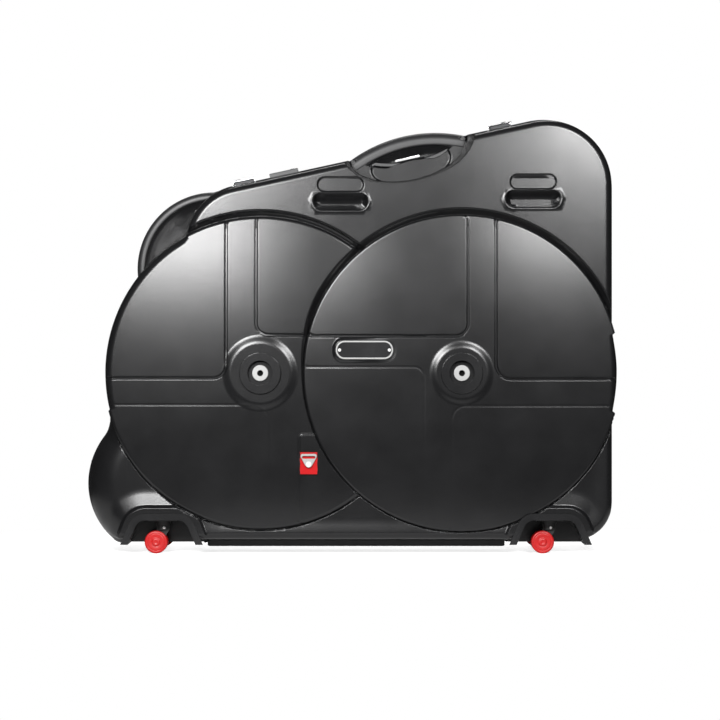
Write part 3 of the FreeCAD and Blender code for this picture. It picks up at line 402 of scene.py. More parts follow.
def scooped(h, x, z, inset, fine):
    """Cuts the scoop under the top handle; the lining keeps clear of it."""
    u, w = on_slope(x, z)
    up = in_scoop(u, w) + (0.0 if fine else LINING_CLEAR)
    edge = FACE + SCOOP_LIP
    cut = edge + SCOOP_RAMP * np.clip(-up, 0, None) - edge * smooth(*SCOOP_WALL, up) - 2 * inset
    near = (cut < SCOOP_HIGHEST) & (w > -SCOOP_B - SCOOP_BELOW)
    return np.where(near, -soft_max(-h, -cut, SCOOP_BLEND), h)


def height(x, z, inset, fine):
    """Depth of the outer skin of one half at (x, z), or, not fine, of the lining inside it by inset."""
    base = gripped(flared(plain_face(x, z, inset), x, z, inset), x, z, fine)
    left, right = [disc_height(side, x, z, inset, fine) for side in HUB]
    past = {side: from_hub(side, x, z) - DISC_EDGE_R[side] for side in HUB}
    if fine:
        base = beside_disc(beside_disc(base, "left", x, z), "right", x, z)
        left = beside_disc(left, "right", x, z)
        over = {side: past[side] < DISC_LAP for side in HUB}
        left = np.where(over["right"], np.minimum(left, UNDER_DISC), left)
        base = np.where(over["left"] | over["right"], np.minimum(base, UNDER_DISC), base)
        h = np.maximum(np.maximum(base, left), right)
        return np.maximum(scooped(h, x, z, inset, fine), web_height(x, z))
    over = {side: past[side] < -LINING_LAP for side in HUB}
    base = np.where(over["left"], np.minimum(base, left), base)
    base = np.where(over["right"], np.minimum(base, right), base)
    left = np.where(over["right"], np.minimum(left, right), left)
    h = np.maximum(np.maximum(base, left), right)
    for side in HUB:
        width, depth = gap_width(side, x, z)
        ditch = smooth(*DITCH_INSIDE, past[side]) * smooth(*DITCH_OUTSIDE, past[side] - width)
        h = h - (depth + DITCH_DEEPER) * ditch
    h = scooped(h, x, z, inset, fine)
    for side in SWIVEL:
        well = from_arch(side, x, z) < REBATE + WALL
        h = np.where(well, np.minimum(h, WELL_BACK - WALL), h)
    return np.maximum(h, WEB - LINING_UNDER)


def web_height(x, z):
    """Depth of the web behind the handle bars: a cove at the corner, a pocket floor and a trench on top."""
    r = np.hypot(x - FLANGE[0], np.maximum(z - FLANGE[1], 0))
    corner = np.interp(r, *FLANGE_COVE)
    u, w = on_slope(x, z)
    r = np.hypot(u, w - TOP_BAR[0])
    ends = smooth(1.0, 1.07, np.hypot(u / POCKET_A, (w + POCKET_DOWN) / POCKET_B))
    floor = SCOOP_FLOOR + (POCKET_END - SCOOP_FLOOR) * ends
    trench = np.minimum(r - TRENCH_R, w - scoop_edge(u) - TRENCH_UP)
    trench = np.clip(trench / TRENCH_EDGE, 0, 1)
    under_bar = np.interp(r, (TRENCH_FLOOR[0], TOP_BAR[1]), TRENCH_FLOOR[1:])
    top = floor + (under_bar - floor) * trench
    near = (np.abs(u) < TRENCH_HALF) & (in_scoop(u, w) > 0) & (w < 2)
    return np.where(in_flange(x, z) > -0.6, corner, np.where(near, top, WEB))


def slope_normals(p, inset, fine, step):
    x, z = p.T
    gx = (height(x + step, z, inset, fine) - height(x - step, z, inset, fine)) / (2 * step)
    gz = (height(x, z + step, inset, fine) - height(x, z - step, inset, fine)) / (2 * step)
    return unit(np.stack([-gx, np.ones_like(gx), -gz], 1))


def left_of(p, closed=True):
    """Normals to the left of a run of points."""
    ahead = np.roll(p, -1, 0) - np.roll(p, 1, 0)
    if not closed:
        ahead[0], ahead[-1] = p[1] - p[0], p[-1] - p[-2]
    ahead = unit(ahead)
    return np.stack([-ahead[:, 1], ahead[:, 0]], 1)


def path(corners, step, closed=True):
    """Points along a run of corners (x, z, radius), with the normals to the left of the run."""
    n = len(corners)
    stops = []
    for i, (x, z, r) in enumerate(corners):
        p = np.array((x, z))
        if r == 0 or (not closed and i in (0, n - 1)):
            stops.append((p, p, None, 0))
            continue
        a = unit(np.array(corners[i - 1][:2]) - p)
        b = unit(np.array(corners[(i + 1) % n][:2]) - p)
        half = math.acos(np.clip(a @ b, -1, 1)) / 2
        cut = r / math.tan(half)
        stops.append((p + a * cut, p + b * cut, p + unit(a + b) * r / math.sin(half), r))
    pts = []
    for i, (start, end, centre, r) in enumerate(stops):
        if centre is None:
            pts.append(end)
        else:
            a0 = math.atan2(*(start - centre)[::-1])
            turn = math.atan2(*(end - centre)[::-1]) - a0
            turn = (turn + math.pi) % (2 * math.pi) - math.pi
            count = max(int(abs(turn) * r / min(step, r / 3)), 3)
            for k in range(count + 1):
                a = a0 + turn * k / count
                pts.append(centre + r * np.array((math.cos(a), math.sin(a))))
        if i + 1 < n or closed:
            follow = stops[(i + 1) % n][0]
            count = int(np.linalg.norm(follow - end) / step)
            pts += [end + (follow - end) * k / (count + 1) for k in range(1, count + 1)]
    pts = np.array(pts)
    keep = np.ones(len(pts), bool)
    keep[1:] = np.linalg.norm(np.diff(pts, axis=0), axis=1) > 1e-6
    return pts[keep], left_of(pts[keep], closed)


def circle(cx, cz, r, step):
    count = int(2 * math.pi * r / step)
    a = np.arange(count) * 2 * math.pi / count
    n = np.stack([np.cos(a), np.sin(a)], 1)
    return np.array((cx, cz)) + r * n, -n


def frame_run(cx, cz, length, tall, r, step):
    """Run round a rectangle with rounded corners."""
    a, b = length / 2, tall / 2
    return path([(cx - a, cz - b, r), (cx + a, cz - b, r), (cx + a, cz + b, r), (cx - a, cz + b, r)], step)


def body_corners():
    return [(LEFT, BOTTOM, 0), (RIGHT, BOTTOM, BODY_R["low"]),
            (RIGHT, TOP + TAN * RIGHT, BODY_R["right"]), (LEFT, TOP + TAN * LEFT, BODY_R["left"])]


def arch_run(side, margin):
    """Corners round a caster arch, outside its opening by a margin."""
    s = SWIVEL[side]
    middle = ARCH_HALF + margin * math.hypot(1, LEAN)
    low, high = middle + LEAN * (ARCH_TOP - BOTTOM), middle - LEAN * margin
    top, r = ARCH_TOP + margin, ARCH_R + margin
    return [(s + low, BOTTOM, 0), (s + high, top, r), (s - high, top, r), (s - low, BOTTOM, 0)]


def bar_row(u, r):
    """Points at a radius about the centre of the top bar."""
    return from_slope(u, TOP_BAR[0] + np.sqrt(r ** 2 - u ** 2))


def by_angle(runs):
    """One loop of all the runs, in order round the middle of the case."""
    p = np.concatenate(runs)
    p = p[np.argsort(np.arctan2(p[:, 1] - CENTRE[1], p[:, 0] - CENTRE[0]))]
    return p[np.linalg.norm(p - np.roll(p, 1, 0), axis=1) > 0.8]


def form_runs(step, margin, forms):
    """Runs inside the edge of each form by a margin, where no other form reaches past them."""
    def free(p, own):
        held = np.maximum.reduce([form(*p.T) for name, form in forms.items() if name != own])
        return p[held < margin + TOUCH]

    p, n = path(body_corners(), step)
    body = p + n * margin
    lobe = circle(*LOBE[:2], LOBE[2] - margin, step)[0]
    lobe = lobe[(in_foot(*lobe.T) > margin - TOUCH) & (in_waist(*lobe.T) < margin + TOUCH)]
    foot = circle(*FOOT[:2], FOOT[2] - margin, step)[0]
    foot = foot[np.abs(in_lobe(*foot.T) - margin) < TOUCH]
    waist = circle(*WAIST, WAIST_R + margin, step)[0]
    waist = waist[np.abs(in_waist(*waist.T) - margin) < TOUCH]
    runs = [free(body, "body")] + [free(p, "lobe") for p in (lobe, foot, waist)]
    return runs + [free(circle(*HUB[side], DISC_R - margin, step)[0], side) for side in HUB]


def outer_outline(step):
    """Outline of one half at the parting plane."""
    runs = form_runs(step, 0.0, {**FORMS, "flange": in_flange})
    u, w = on_slope(*runs[0].T)
    runs[0] = runs[0][(np.abs(u) > SCOOP_OPEN) | (w < -SCOOP_BELOW)]
    leg = np.linspace(FLANGE[1], HUB["left"][1], 60)
    leg = np.stack([np.full(60, FLANGE[0] - FLANGE[2]), leg], 1)
    for p in (circle(*FLANGE, step)[0], leg):
        runs.append(p[in_outline(*p.T) < TOUCH])
    runs = [run[run[:, 1] > BOTTOM + 0.5] for run in runs]
    u = np.arange(1 - SCOOP_OPEN, SCOOP_OPEN - 0.9, step)
    under = BAR_UNDERSIDE[0] + np.sqrt(BAR_UNDERSIDE[1] ** 2 - u ** 2)
    w = np.where(np.abs(u) < BAR_SPAN, under, np.minimum(scoop_edge(u) + SCOOP_RISE, 0))
    runs.append(from_slope(u, w))
    end = RIGHT - BODY_R["low"]
    base = np.linspace(FOOT[0], end, int((end - FOOT[0]) / step))
    runs.append(np.stack([base, np.full(len(base), BOTTOM)], 1))
    return by_angle(runs)


def inner_outline(step, margin=WALL, low=BOTTOM + WALL, rise=HOLLOW_RISE):
    """Outline of the hollow of one half, inside its outline by a margin and above a level."""
    def scoop(x, z):
        u, w = on_slope(x, z)
        return np.where(np.abs(u) < SCOOP_A, w - scoop_edge(u) - rise, -1) + margin

    runs = form_runs(step, margin, {**FORMS, "scoop": scoop})
    runs[0] = runs[0][runs[0][:, 0] > LEFT + 2 * margin]
    runs = [run[run[:, 1] > low + 0.5] for run in runs]
    reach = np.interp(low, (BOTTOM + WALL, LOBE[1]), (FOOT[0], LOBE[0] - LOBE[2] + margin))
    x = np.arange(reach, RIGHT - BODY_R["low"], step)
    runs.append(np.stack([x, np.full(len(x), low)], 1))
    u = np.arange(-SCOOP_A + 1, SCOOP_A, step)
    w = scoop_edge(u) + rise - (margin - WALL)
    runs.append(from_slope(u, w)[w < -margin])
    return by_angle(runs)


def crossings(p, loops):
    """True for the points inside an odd number of loops."""
    odd = np.zeros(len(p), bool)
    for loop in loops:
        for (x0, z0), (x1, z1) in zip(loop, np.roll(loop, -1, 0)):
            if z0 == z1:
                continue
            span = (z0 > p[:, 1]) != (z1 > p[:, 1])
            odd ^= span & (p[:, 0] < (x1 - x0) * (p[:, 1] - z0) / (z1 - z0) + x0)
    return odd


def triangles(loops, free):
    """Triangles inside the loops through all points. Gives points, faces and each loop's indices."""
    coords, edges, spans = [], [], []
    for loop in loops:
        start, n = len(coords), len(loop)
        coords += [Vector(p) for p in loop]
        edges += [(start + i, start + (i + 1) % n) for i in range(n)]
        spans.append((start, n))
    coords += [Vector(p) for p in free]
    out, _, faces, origin, _, _ = delaunay_2d_cdt(coords, edges, [], 0, 1e-5, True)
    p = np.array([tuple(v) for v in out])
    place = {old: i for i, olds in enumerate(origin) for old in olds}
    f = np.array([t for t in faces if len(t) == 3])
    f = f[crossings(p[f].mean(1), loops)]
    return p, f, [[place[start + i] for i in range(n)] for start, n in spans]


def lattice(pitch, low=20.0, shift=0.0):
    """Grid of points over the whole case, every other row shifted."""
    gx, gz = np.meshgrid(np.arange(-600, 600, pitch), np.arange(low, 980, pitch))
    gx = gx + (np.arange(len(gx)) % 2)[:, None] * shift
    return np.stack([gx.ravel(), gz.ravel()], 1)


def thinned(p, pitch):
    """Leaves out each point that shares a cell of that pitch with an earlier one."""
    first = np.unique(np.round(p / pitch).astype(int), axis=0, return_index=True)[1]
    return p[np.sort(first)]


def apart(p, others, pitch):
    """The points that share no cell of that pitch with the others."""
    taken = set(map(tuple, np.round(others / pitch).astype(int)))
    return p[[tuple(cell) not in taken for cell in np.round(p / pitch).astype(int)]]


class Skin:
    """Faces with a normal at each corner; vertices are (x, depth, z)."""

    def __init__(self):
        self.verts, self.faces, self.normals = [], [], []

    def add(self, points):
        start = len(self.verts)
        self.verts += [tuple(p) for p in points]
        return start

    def face(self, ids, normals):
        self.faces.append(tuple(ids))
        self.normals.append([tuple(n) for n in normals])

    def columns(self, a, b, na, nb):
        """Fills the strip between two columns of vertices that run down in depth."""
        i = j = 0
        while i + 1 < len(a) or j + 1 < len(b):
            da = self.verts[a[i + 1]][1] if i + 1 < len(a) else -1e9
            db = self.verts[b[j + 1]][1] if j + 1 < len(b) else -1e9
            if da >= db:
                self.face((a[i], a[i + 1], b[j]), (na, na, nb))
                i += 1
            else:
                self.face((a[i], b[j + 1], b[j]), (na, nb, nb))
                j += 1

    def between(self, ids, low, high):
        return [v for v in ids if low - TOUCH <= self.verts[v][1] <= high + TOUCH]

    def mesh(self, name, rear):
        sign = 1.0 if rear else -1.0
        order = slice(None, None, -1) if rear else slice(None)
        data = bpy.data.meshes.new(name)
        data.from_pydata([(x * MM, sign * d * MM, z * MM) for x, d, z in self.verts], [],
                         [f[order] for f in self.faces])
        data.polygons.foreach_set("use_smooth", [True] * len(self.faces))
        data.normals_split_custom_set([(n[0], sign * n[1], n[2])
                                       for ns in self.normals for n in ns[order]])
        data.update()
        return data


def feature_rows(step):
    """Points along every edge, line and rounding of the outer skin."""
    rows = []

    def add(run, offsets, level=0):
        """Adds rows beside a run, left out where a disc above that level covers them."""
        p, n = run
        for o in offsets:
            q = p + n * o
            if level < 2:
                q = q[in_disc("right", *q.T) < 9 + 4 * (level == 1)]
            if level < 1:
                q = q[in_disc("left", *q.T) < 9]
            rows.append(q)

    edge = (-0.5, 0.02, 2.5, 5.5, 8.5, 11.2, 12.5, 14, 16, 18.5, 21.5, 25, 28, 33)
    add(path(body_corners(), step), edge)
    add(circle(*LOBE, step), (1, 2.6, 5, 8, 12, 17, 23, 30, 38, 47, 57, 67, 73))
    p, n = circle(*WAIST, WAIST_R, step)
    add((p, -n), (0.3, 1.5, 3.5, 6, 9, 13, 18, 24, 31))
    for side, level in (("left", 1), ("right", 2)):
        hub = HUB[side]
        p, n = circle(*hub, DISC_R, step)
        bare = np.maximum(in_body(*p.T), in_lobe(*p.T)) < 24
        add((p[bare], n[bare]), edge, level)
        p, n = circle(*hub, DISC_EDGE_R[side], step)
        deep = np.maximum(in_body(*p.T), in_lobe(*p.T)) > -12
        turn = (-1.6, -1.1, -0.5, 0.05, 0.4, 1, 2, 3.2, 4.6, 6.3, 8.5, 12)
        add((p[deep], n[deep]), turn, level)
        width, depth = gap_width(side, *p.T)
        beside = [width * k for k in (0.13, 0.17, 0.4, 0.7, 0.97)]
        beside += [width + GAP_LIP * depth * k for k in (0.02, 0.15, 0.35, 0.65, 1.05, 1.8)]
        for o in beside:
            add((p - n * o[:, None], n), (0,), level - 1)
        for r in (50, 52.5, 54, 56, *np.arange(58.5, 86.1, 2.5)):
            add(circle(*hub, r, 4), (0,), level)
        for margin in (17, 20, 24, 25.6, 27, 28.3, 29.6, 31, 32.4, 33.6, 35, 38, *range(42, 68, 5), 71, 74):
            add(path(arch_run(side, margin), step, False), (0,))
    add(circle(*FLANGE, step), (0.6, 2.5, 4.7, 8, 13, 17.7, 24, 34, 46, 58))
    u = np.linspace(-88, 88, 56)
    rows += [bar_row(u, r) for r in (274, 278, 283, 288, 292, 294.4)]
    for side, cx, cz, r, sx, sz, _ in PANELS:
        ends = HUB[side][1] + sz * LINE_REACH, HUB[side][0] + sx * LINE_REACH
        p, n = path([(cx, ends[0], 0), (cx, cz, r), (ends[1], cz, 0)], step, False)
        for o in (-5.4, -4.1, -3.2, -2.2, -1.1, 0, 1.1, 2.2, 3.2, 4.1, 5.4):
            q = p + n * o
            q = q[in_disc(side, *q.T) > 13]
            if side == "left":
                width, depth = gap_width("right", *q.T)
                q = q[from_hub("right", *q.T) - DISC_EDGE_R["right"] > width + 0.3 * depth]
            rows.append(q)
    for gx, gz in GRIPS:
        for up, *size in ((0, *GRIP_PILL), GRIP_LEDGE):
            add(frame_run(gx, gz + up, *size, 3.5),
                (-5, -2, -0.6, 0.3, 1.2, 2.4, 3.8, 5.2, 6.8, 9, 12))
    add(frame_run(*PLATE, 4.0), (-11, -9, -7.5, -6, -4.5, -3, -1.8, -0.8, 0.4), 2)
    turn = np.linspace(math.pi, 2 * math.pi, 130)
    rim = np.stack([SCOOP_A * np.cos(turn), SCOOP_B * np.sin(turn)], 1)
    side = unit(np.stack([-np.cos(turn) / SCOOP_A, -np.sin(turn) / SCOOP_B], 1))
    for o in (-20, -15, -11, -8, -6, -4.5, -3, *range(-1, 16, 2), 17.5, 21):
        rows.append(from_slope(*(rim + side * o).T))
    u = np.linspace(-130, 130, 80)
    rows += [bar_row(u, r) for r in (256, 260, 262.5, 264.5, 266, 267.5, 269.5, 272)]
    return np.concatenate(rows)


def bores():
    return [circle(*HUB[side], BORE_R, 5)[0] for side in HUB]


def slit_loop():
    """Opening under the top bar through which the light shows."""
    corners = from_slope(np.array((-1, 1, 1, -1)) * SLIT_HALF, np.array((-1, -1, 1, 1)) * SLIT_RISE)
    return path([(x, z - SLIT_DOWN, SLIT_R) for x, z in corners], 4)[0]


def with_arches(full):
    """Outline of the face, with a detour round each arch: its start, length and the points left out."""
    loop, detours, start = [], [], 0
    for side in SWIVEL:
        gap = np.nonzero(from_arch(side, *full.T) < REBATE + 1.5)[0]
        run = path(arch_run(side, REBATE), ROW_STEP, False)[0][::-1]
        run = run[in_outline(*run.T) > -TOUCH]
        loop += list(full[start:gap[0]])
        detours.append((len(loop), len(run), gap))
        loop += list(run)
        start = gap[-1] + 1
    return np.array(loop + list(full[start:])), detours


def face_points(loops):
    """Points inside the loops that the outer skin is drawn through."""
    rows = feature_rows(ROW_STEP + 0.3)
    grid = apart(lattice(GRID_PITCH, shift=GRID_PITCH / 2), rows, 4.5)
    u, w = np.meshgrid(np.arange(-156, 157, FINE_PITCH), np.arange(-92, 6, FINE_PITCH))
    free = thinned(np.concatenate([rows, from_slope(u.ravel(), w.ravel()), grid]), 0.6)
    return apart(free[crossings(free, loops)], np.concatenate(loops), 1.0)


def drape(skin, loops, free, fine):
    """Adds faces inside the loops at the depth of the outer skin or of the lining. Gives the normals to the
    left of the first loop and each loop's vertices."""
    inset, nudge, step, way = (0.0, 0.35, 0.25, 1) if fine else (WALL, 0.5, 0.5, -1)
    p, faces, spans = triangles(loops, free)
    left = left_of(loops[0])
    inward = np.zeros_like(p)
    inward[spans[0]] = left * nudge
    normals = way * slope_normals(p + inward * 1.5, inset, fine, step)
    base = skin.add(np.stack([p[:, 0], height(*(p + inward).T, inset, fine), p[:, 1]], 1))
    for f in faces[:, ::way]:
        skin.face(base + f, normals[f])
    return left, [[base + i for i in span] for span in spans]


def half_skin(full, slit):
    """Outer faces of one half, with the walls down to the parting plane."""
    skin = Skin()
    loop, detours = with_arches(full)
    holes = bores() + [slit]
    left, (ids, *rings) = drape(skin, [loop] + holes, face_points([loop] + holes), True)
    arched = np.zeros(len(loop), bool)
    for start, length, _ in detours:
        arched[start:start + length] = True
    out = np.stack([-left[:, 0], np.zeros(len(left)), -left[:, 1]], 1)
    columns = []
    for (x, z), i, arch in zip(loop, ids, arched):
        top = skin.verts[i][1]
        if arch:
            levels = [(top + WELL_BACK) / 2, WELL_BACK]
        else:
            levels = [v for v in (WELL_BACK, RIM_BAND, RIM_LOW) if v < top - 8] + [HALF_GAP]
        columns.append([i] + [skin.add([(x, v, z)]) for v in levels if v < top - 0.5])
    count = len(loop)
    for k in range(count):
        j = (k + 1) % count
        a, b = columns[k], columns[j]
        if arched[k] or arched[j]:
            a, b = [skin.between(c, WELL_BACK, math.inf) or c[:1] for c in (a, b)]
        skin.columns(a, b, out[k], out[j])

    # Below each arch the wall goes on along the outline, and a plate closes the well
    for start, length, gap in detours:
        strip = [skin.between(columns[start - 1], 0, WELL_BACK)]
        for x, z in full[gap]:
            strip.append([skin.add([(x, v, z)]) for v in (WELL_BACK, RIM_BAND, HALF_GAP)])
        strip.append(skin.between(columns[(start + length) % count], 0, WELL_BACK))
        for a, b in zip(strip[:-1], strip[1:]):
            skin.columns(a, b, (0, 0, -1.0), (0, 0, -1.0))
        rim = [min(c, key=lambda v: abs(skin.verts[v][1] - WELL_BACK))
               for c in columns[start:start + length]]
        plate = [column[0] for column in strip] + rim[::-1]
        skin.face(plate, [(0, 1, 0)] * len(plate))

    for hole, ring in zip(holes, rings):
        floor = [skin.add([(x, HALF_GAP if hole is slit else depth - BORE_DEEP, z)])
                 for x, depth, z in [skin.verts[i] for i in ring]]
        to_middle = unit(hole.mean(0) - hole)
        for a in range(len(ring)):
            b = (a + 1) % len(ring)
            na, nb = [(to_middle[q][0], 0, to_middle[q][1]) for q in (a, b)]
            skin.face((ring[a], ring[b], floor[b], floor[a]), (na, nb, nb, na))
    return skin


def half_lining(skin, full, slit):
    """Adds the inner faces of one half, with the flat lip at the parting plane."""
    step = LINING_STEP
    hollow = inner_outline(step)
    p, faces, _ = triangles([full, hollow, slit], [])
    base = skin.add(np.stack([p[:, 0], np.full(len(p), HALF_GAP), p[:, 1]], 1))
    for f in faces[:, ::-1]:
        skin.face(base + f, [(0, -1, 0)] * 3)
    disc = (3.3, 5, 6.5, 8, 10, 13, 17)
    rows = []
    for (p, n), offsets in ((path(body_corners(), step), (5, 8, 10.5, 13, 16, 19, 23)),
                            (circle(*LOBE, step), (5, 9, 15, 23, 33, 45, 58, 70)),
                            (circle(*HUB["left"], DISC_R, step), disc),
                            (circle(*HUB["right"], DISC_R, step), disc)):
        rows += [p + n * o for o in offsets]
    for side in SWIVEL:
        p, n = path(arch_run(side, REBATE + WALL), step, False)
        rows += [p + n * o for o in (0.5, -0.5, -6, -14, -22, -30)]
        rows += [circle(*HUB[side], r, step)[0] for r in (52, 58, 64, 70, 76)]
    rows += [circle(gx, gz + LINING_GRIP[0], 10, step)[0] for gx, gz in GRIPS]
    free = thinned(np.concatenate(rows + [lattice(LINING_PITCH)]), 1.2)
    loops = [hollow] + bores()
    left, (ids, *_) = drape(skin, loops, free[crossings(free, loops)], False)
    rim = [skin.add([(x, HALF_GAP, z)]) for x, z in hollow]
    for a in range(len(hollow)):
        b = (a + 1) % len(hollow)
        na, nb = [(left[q][0], 0, left[q][1]) for q in (a, b)]
        skin.face((ids[b], rim[b], rim[a], ids[a]), (nb, nb, na, na))


def feed(node, inputs):
    """Links each input of a shader node to a socket, or sets its value."""
    for key, value in inputs.items():
        if isinstance(value, bpy.types.NodeSocket):
            node.id_data.links.new(value, node.inputs[key])
        else:
            node.inputs[key].default_value = value


def wired(tree, kind, out, inputs, **settings):
    """Output of a new shader node with its settings and inputs."""
    node = tree.nodes.new("ShaderNode" + kind)
    for key, value in settings.items():
        setattr(node, key, value)
    feed(node, inputs)
    return node.outputs[out]


def noise_material(name, colour, rough, metallic=0.0, spread=0.25, grain=900.0, bump=0.15,
                   rough_spread=0.08, stretch=(1, 1, 1), specular=0.5, sheen=0.0, wear=0.0, weave=0.0):
    """Moulded or plated surface: base colour with soft blotches, fine grain and uneven gloss."""
    mat = bpy.data.materials.new(name)
    mat.use_nodes = True
    add = partial(wired, mat.node_tree)
    place = add("TexCoord", "Object", {})
    squeezed = add("Mapping", "Vector", {"Vector": place, "Scale": stretch})
    blotches = add("TexNoise", "Fac", {"Vector": place, "Scale": 14.0, "Detail": 5})
    relief = add("TexNoise", "Fac", {"Vector": squeezed, "Scale": grain, "Detail": 3})
    if weave:
        rib = {"Vector": place, "Scale": weave, "Distortion": 0.4}
        ribs = [add("TexWave", "Fac", rib, bands_direction=way) for way in "XZ"]
        relief = add("Math", "Value", dict(enumerate(ribs)), operation="MULTIPLY")
    mixed = add("Mix", "Result", {"Factor": 0.5, "A": blotches, "B": relief})
    surface = add("ValToRGB", "Color", {"Fac": mixed})
    changes = ((0.3, 1 - spread), (0.7, 1 + spread))
    for stop, (position, change) in zip(surface.node.color_ramp.elements, changes):
        stop.position = position
        stop.color = (*[min(c * change, 1) for c in colour], 1)
    if wear:
        edges = add("NewGeometry", "Pointiness", {})
        sharp = add("MapRange", "Result",
                    {"Value": edges, "From Min": 0.53, "From Max": 0.68, "To Max": wear})
        rubbed = (*[min(c * 2.5 + 0.02, 1) for c in colour], 1)
        surface = add("Mix", "Result", {"Factor": sharp, "A": surface, "B": rubbed}, data_type="RGBA")
    least = max(rough - rough_spread, 0.02)
    gloss = add("MapRange", "Result", {"Value": blotches, "To Min": least, "To Max": rough + rough_spread})
    normal = add("Bump", "Normal", {"Height": relief, "Strength": bump, "Distance": 0.0003})
    feed(mat.node_tree.nodes["Principled BSDF"], {
        "Base Color": surface, "Roughness": gloss, "Normal": normal, "Metallic": metallic,
        "Specular IOR Level": specular, "Sheen Weight": sheen})
    return mat


LOOKS = {
    "shell_black": dict(colour=(0.008, 0.008, 0.0085), rough=0.25, grain=560, bump=0.28,
                        rough_spread=0.03, wear=0.25),
    "trim_black": dict(colour=(0.019, 0.019, 0.02), rough=0.42, grain=1300, bump=0.2),
    "seal_rubber": dict(colour=(0.03, 0.03, 0.03), rough=0.75, grain=600, bump=0.3),
    "foam_grey": dict(colour=(0.11, 0.11, 0.115), rough=0.95, grain=420, bump=0.9, specular=0.15,
                      sheen=0.2),
    "steel": dict(colour=(0.62, 0.62, 0.61), rough=0.4, metallic=0.35, spread=0.12, grain=700, bump=0.1,
                  stretch=(1, 1, 14)),
    "chrome": dict(colour=(0.72, 0.72, 0.73), rough=0.14, metallic=1.0, spread=0.06, grain=500, bump=0.03,
                   rough_spread=0.05),
    "satin": dict(colour=(0.37, 0.37, 0.365), rough=0.42, metallic=0.25, spread=0.1, grain=700, bump=0.1),
    # Painted shade: near black with little gloss, for the sleeves and studs in the hub bores
    "bore_shade_black": dict(colour=(0.004, 0.004, 0.004), rough=0.7, bump=0.1, specular=0.1),
    "latch_dark": dict(colour=(0.035, 0.035, 0.037), rough=0.5, metallic=0.6, spread=0.2, grain=700, bump=0.1),
    "latch_grey": dict(colour=(0.09, 0.09, 0.095), rough=0.45, metallic=0.7, spread=0.2, grain=700, bump=0.1),
    "webbing_red": dict(colour=(0.5, 0.006, 0.008), rough=0.8, grain=700, bump=0.8, specular=0.2, sheen=0.2,
                        weave=190.0),
    "plate_black": dict(colour=(0.012, 0.012, 0.013), rough=0.25, bump=0.05),
    "lock_dark": dict(colour=(0.03, 0.03, 0.032), rough=0.35, bump=0.1),
    "knob_black": dict(colour=(0.03, 0.03, 0.03), rough=0.5, bump=0.25),
    "caster_black": dict(colour=(0.025, 0.025, 0.025), rough=0.5, bump=0.25),
    "wheel_red": dict(colour=(0.44, 0.006, 0.006), rough=0.38, spread=0.18, grain=700, bump=0.1),
}
MATERIALS = {name: noise_material(name, **look) for name, look in LOOKS.items()}

# Nodes whose look differs from that of their slot, by a part of their name
NODE_LOOKS = {
    "latch_base": "latch_dark", "latch_keeper": "latch_dark", "latch_lever": "latch_grey",
    "key_cylinder": "lock_dark", "hinge": "latch_dark", "hub_bush": "satin", "hub_collar": "shell_black",
    # The wheel studs take the painted shade of the hub bores
    "wheel_stud": "bore_shade_black", "caster_housing": "shell_black", "caster_plate": "caster_black",
    "king_pin": "caster_black",
}
for sub in frame["record"]["subparts"]:
    node = frame["nodes"][sub["node"]]
    looks = [look for part, look in NODE_LOOKS.items() if part in sub["node"]] + [sub["material_slot"]]
    node.data.materials.clear()
    node.data.materials.append(MATERIALS[looks[0]])


def loft(rings, round_trip=False):
    """Vertices and faces through closed rings of points, capped at both ends or joined end to start."""
    count, n = len(rings), len(rings[0])
    verts = [tuple(p) for ring in rings for p in ring]
    faces = []
    for i in range(count if round_trip else count - 1):
        a, b = i * n, (i + 1) % count * n
        faces += [(a + k, a + (k + 1) % n, b + (k + 1) % n, b + k) for k in range(n)]
    if not round_trip:
        faces += [tuple(range(n))[::-1], tuple(range((count - 1) * n, count * n))]
    return verts, faces


def lathe(profile, x, z, count=48):
    """Turned form about an axis along Y through (x, z), from (radius, y) points."""
    turn = [2 * math.pi * k / count for k in range(count)]
    return loft([[(x + r * math.cos(a), y, z + r * math.sin(a)) for a in turn] for r, y in profile])


def joined(name, forms, crease):
    """One mesh of several closed forms, in millimetres, smooth up to a crease angle."""
    verts, faces = [], []
    for v, f in forms:
        start = len(verts)
        verts += [tuple(c * MM for c in p) for p in v]
        faces += [tuple(start + i for i in face) for face in f]
    data = bpy.data.meshes.new(name)
    data.from_pydata(verts, [], faces)
    turned = bmesh.new()
    turned.from_mesh(data)
    bmesh.ops.recalc_face_normals(turned, faces=turned.faces)
    turned.to_mesh(data)
    turned.free()
    data.polygons.foreach_set("use_smooth", [True] * len(faces))
    data.set_sharp_from_angle(angle=math.radians(crease))
    return data


def put(name, data, body, slot, look=None):
    """Object of that mesh, riding a body; its look is that of its slot unless another is named."""
    obj = bpy.data.objects.new(name, data)
    bpy.context.scene.collection.objects.link(obj)
    data.materials.append(MATERIALS[look or slot])
    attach(obj, body)
    return obj


def put_forms(name, forms, body, slot, look=None, crease=35.0):
    return put(name, joined(name, forms, crease), body, slot, look)


HALVES = (("front", -1), ("rear", 1))
full, slit = outer_outline(ROW_STEP), slit_loop()
skin = half_skin(full, slit)
half_lining(skin, full, slit)
for half, sign in HALVES:
    data = skin.mesh(half + "_shell_skin", half == "rear")
    piece = put(half + "_shell_skin", data, half + "_half", "shell_black")
    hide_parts(half + "_shell")


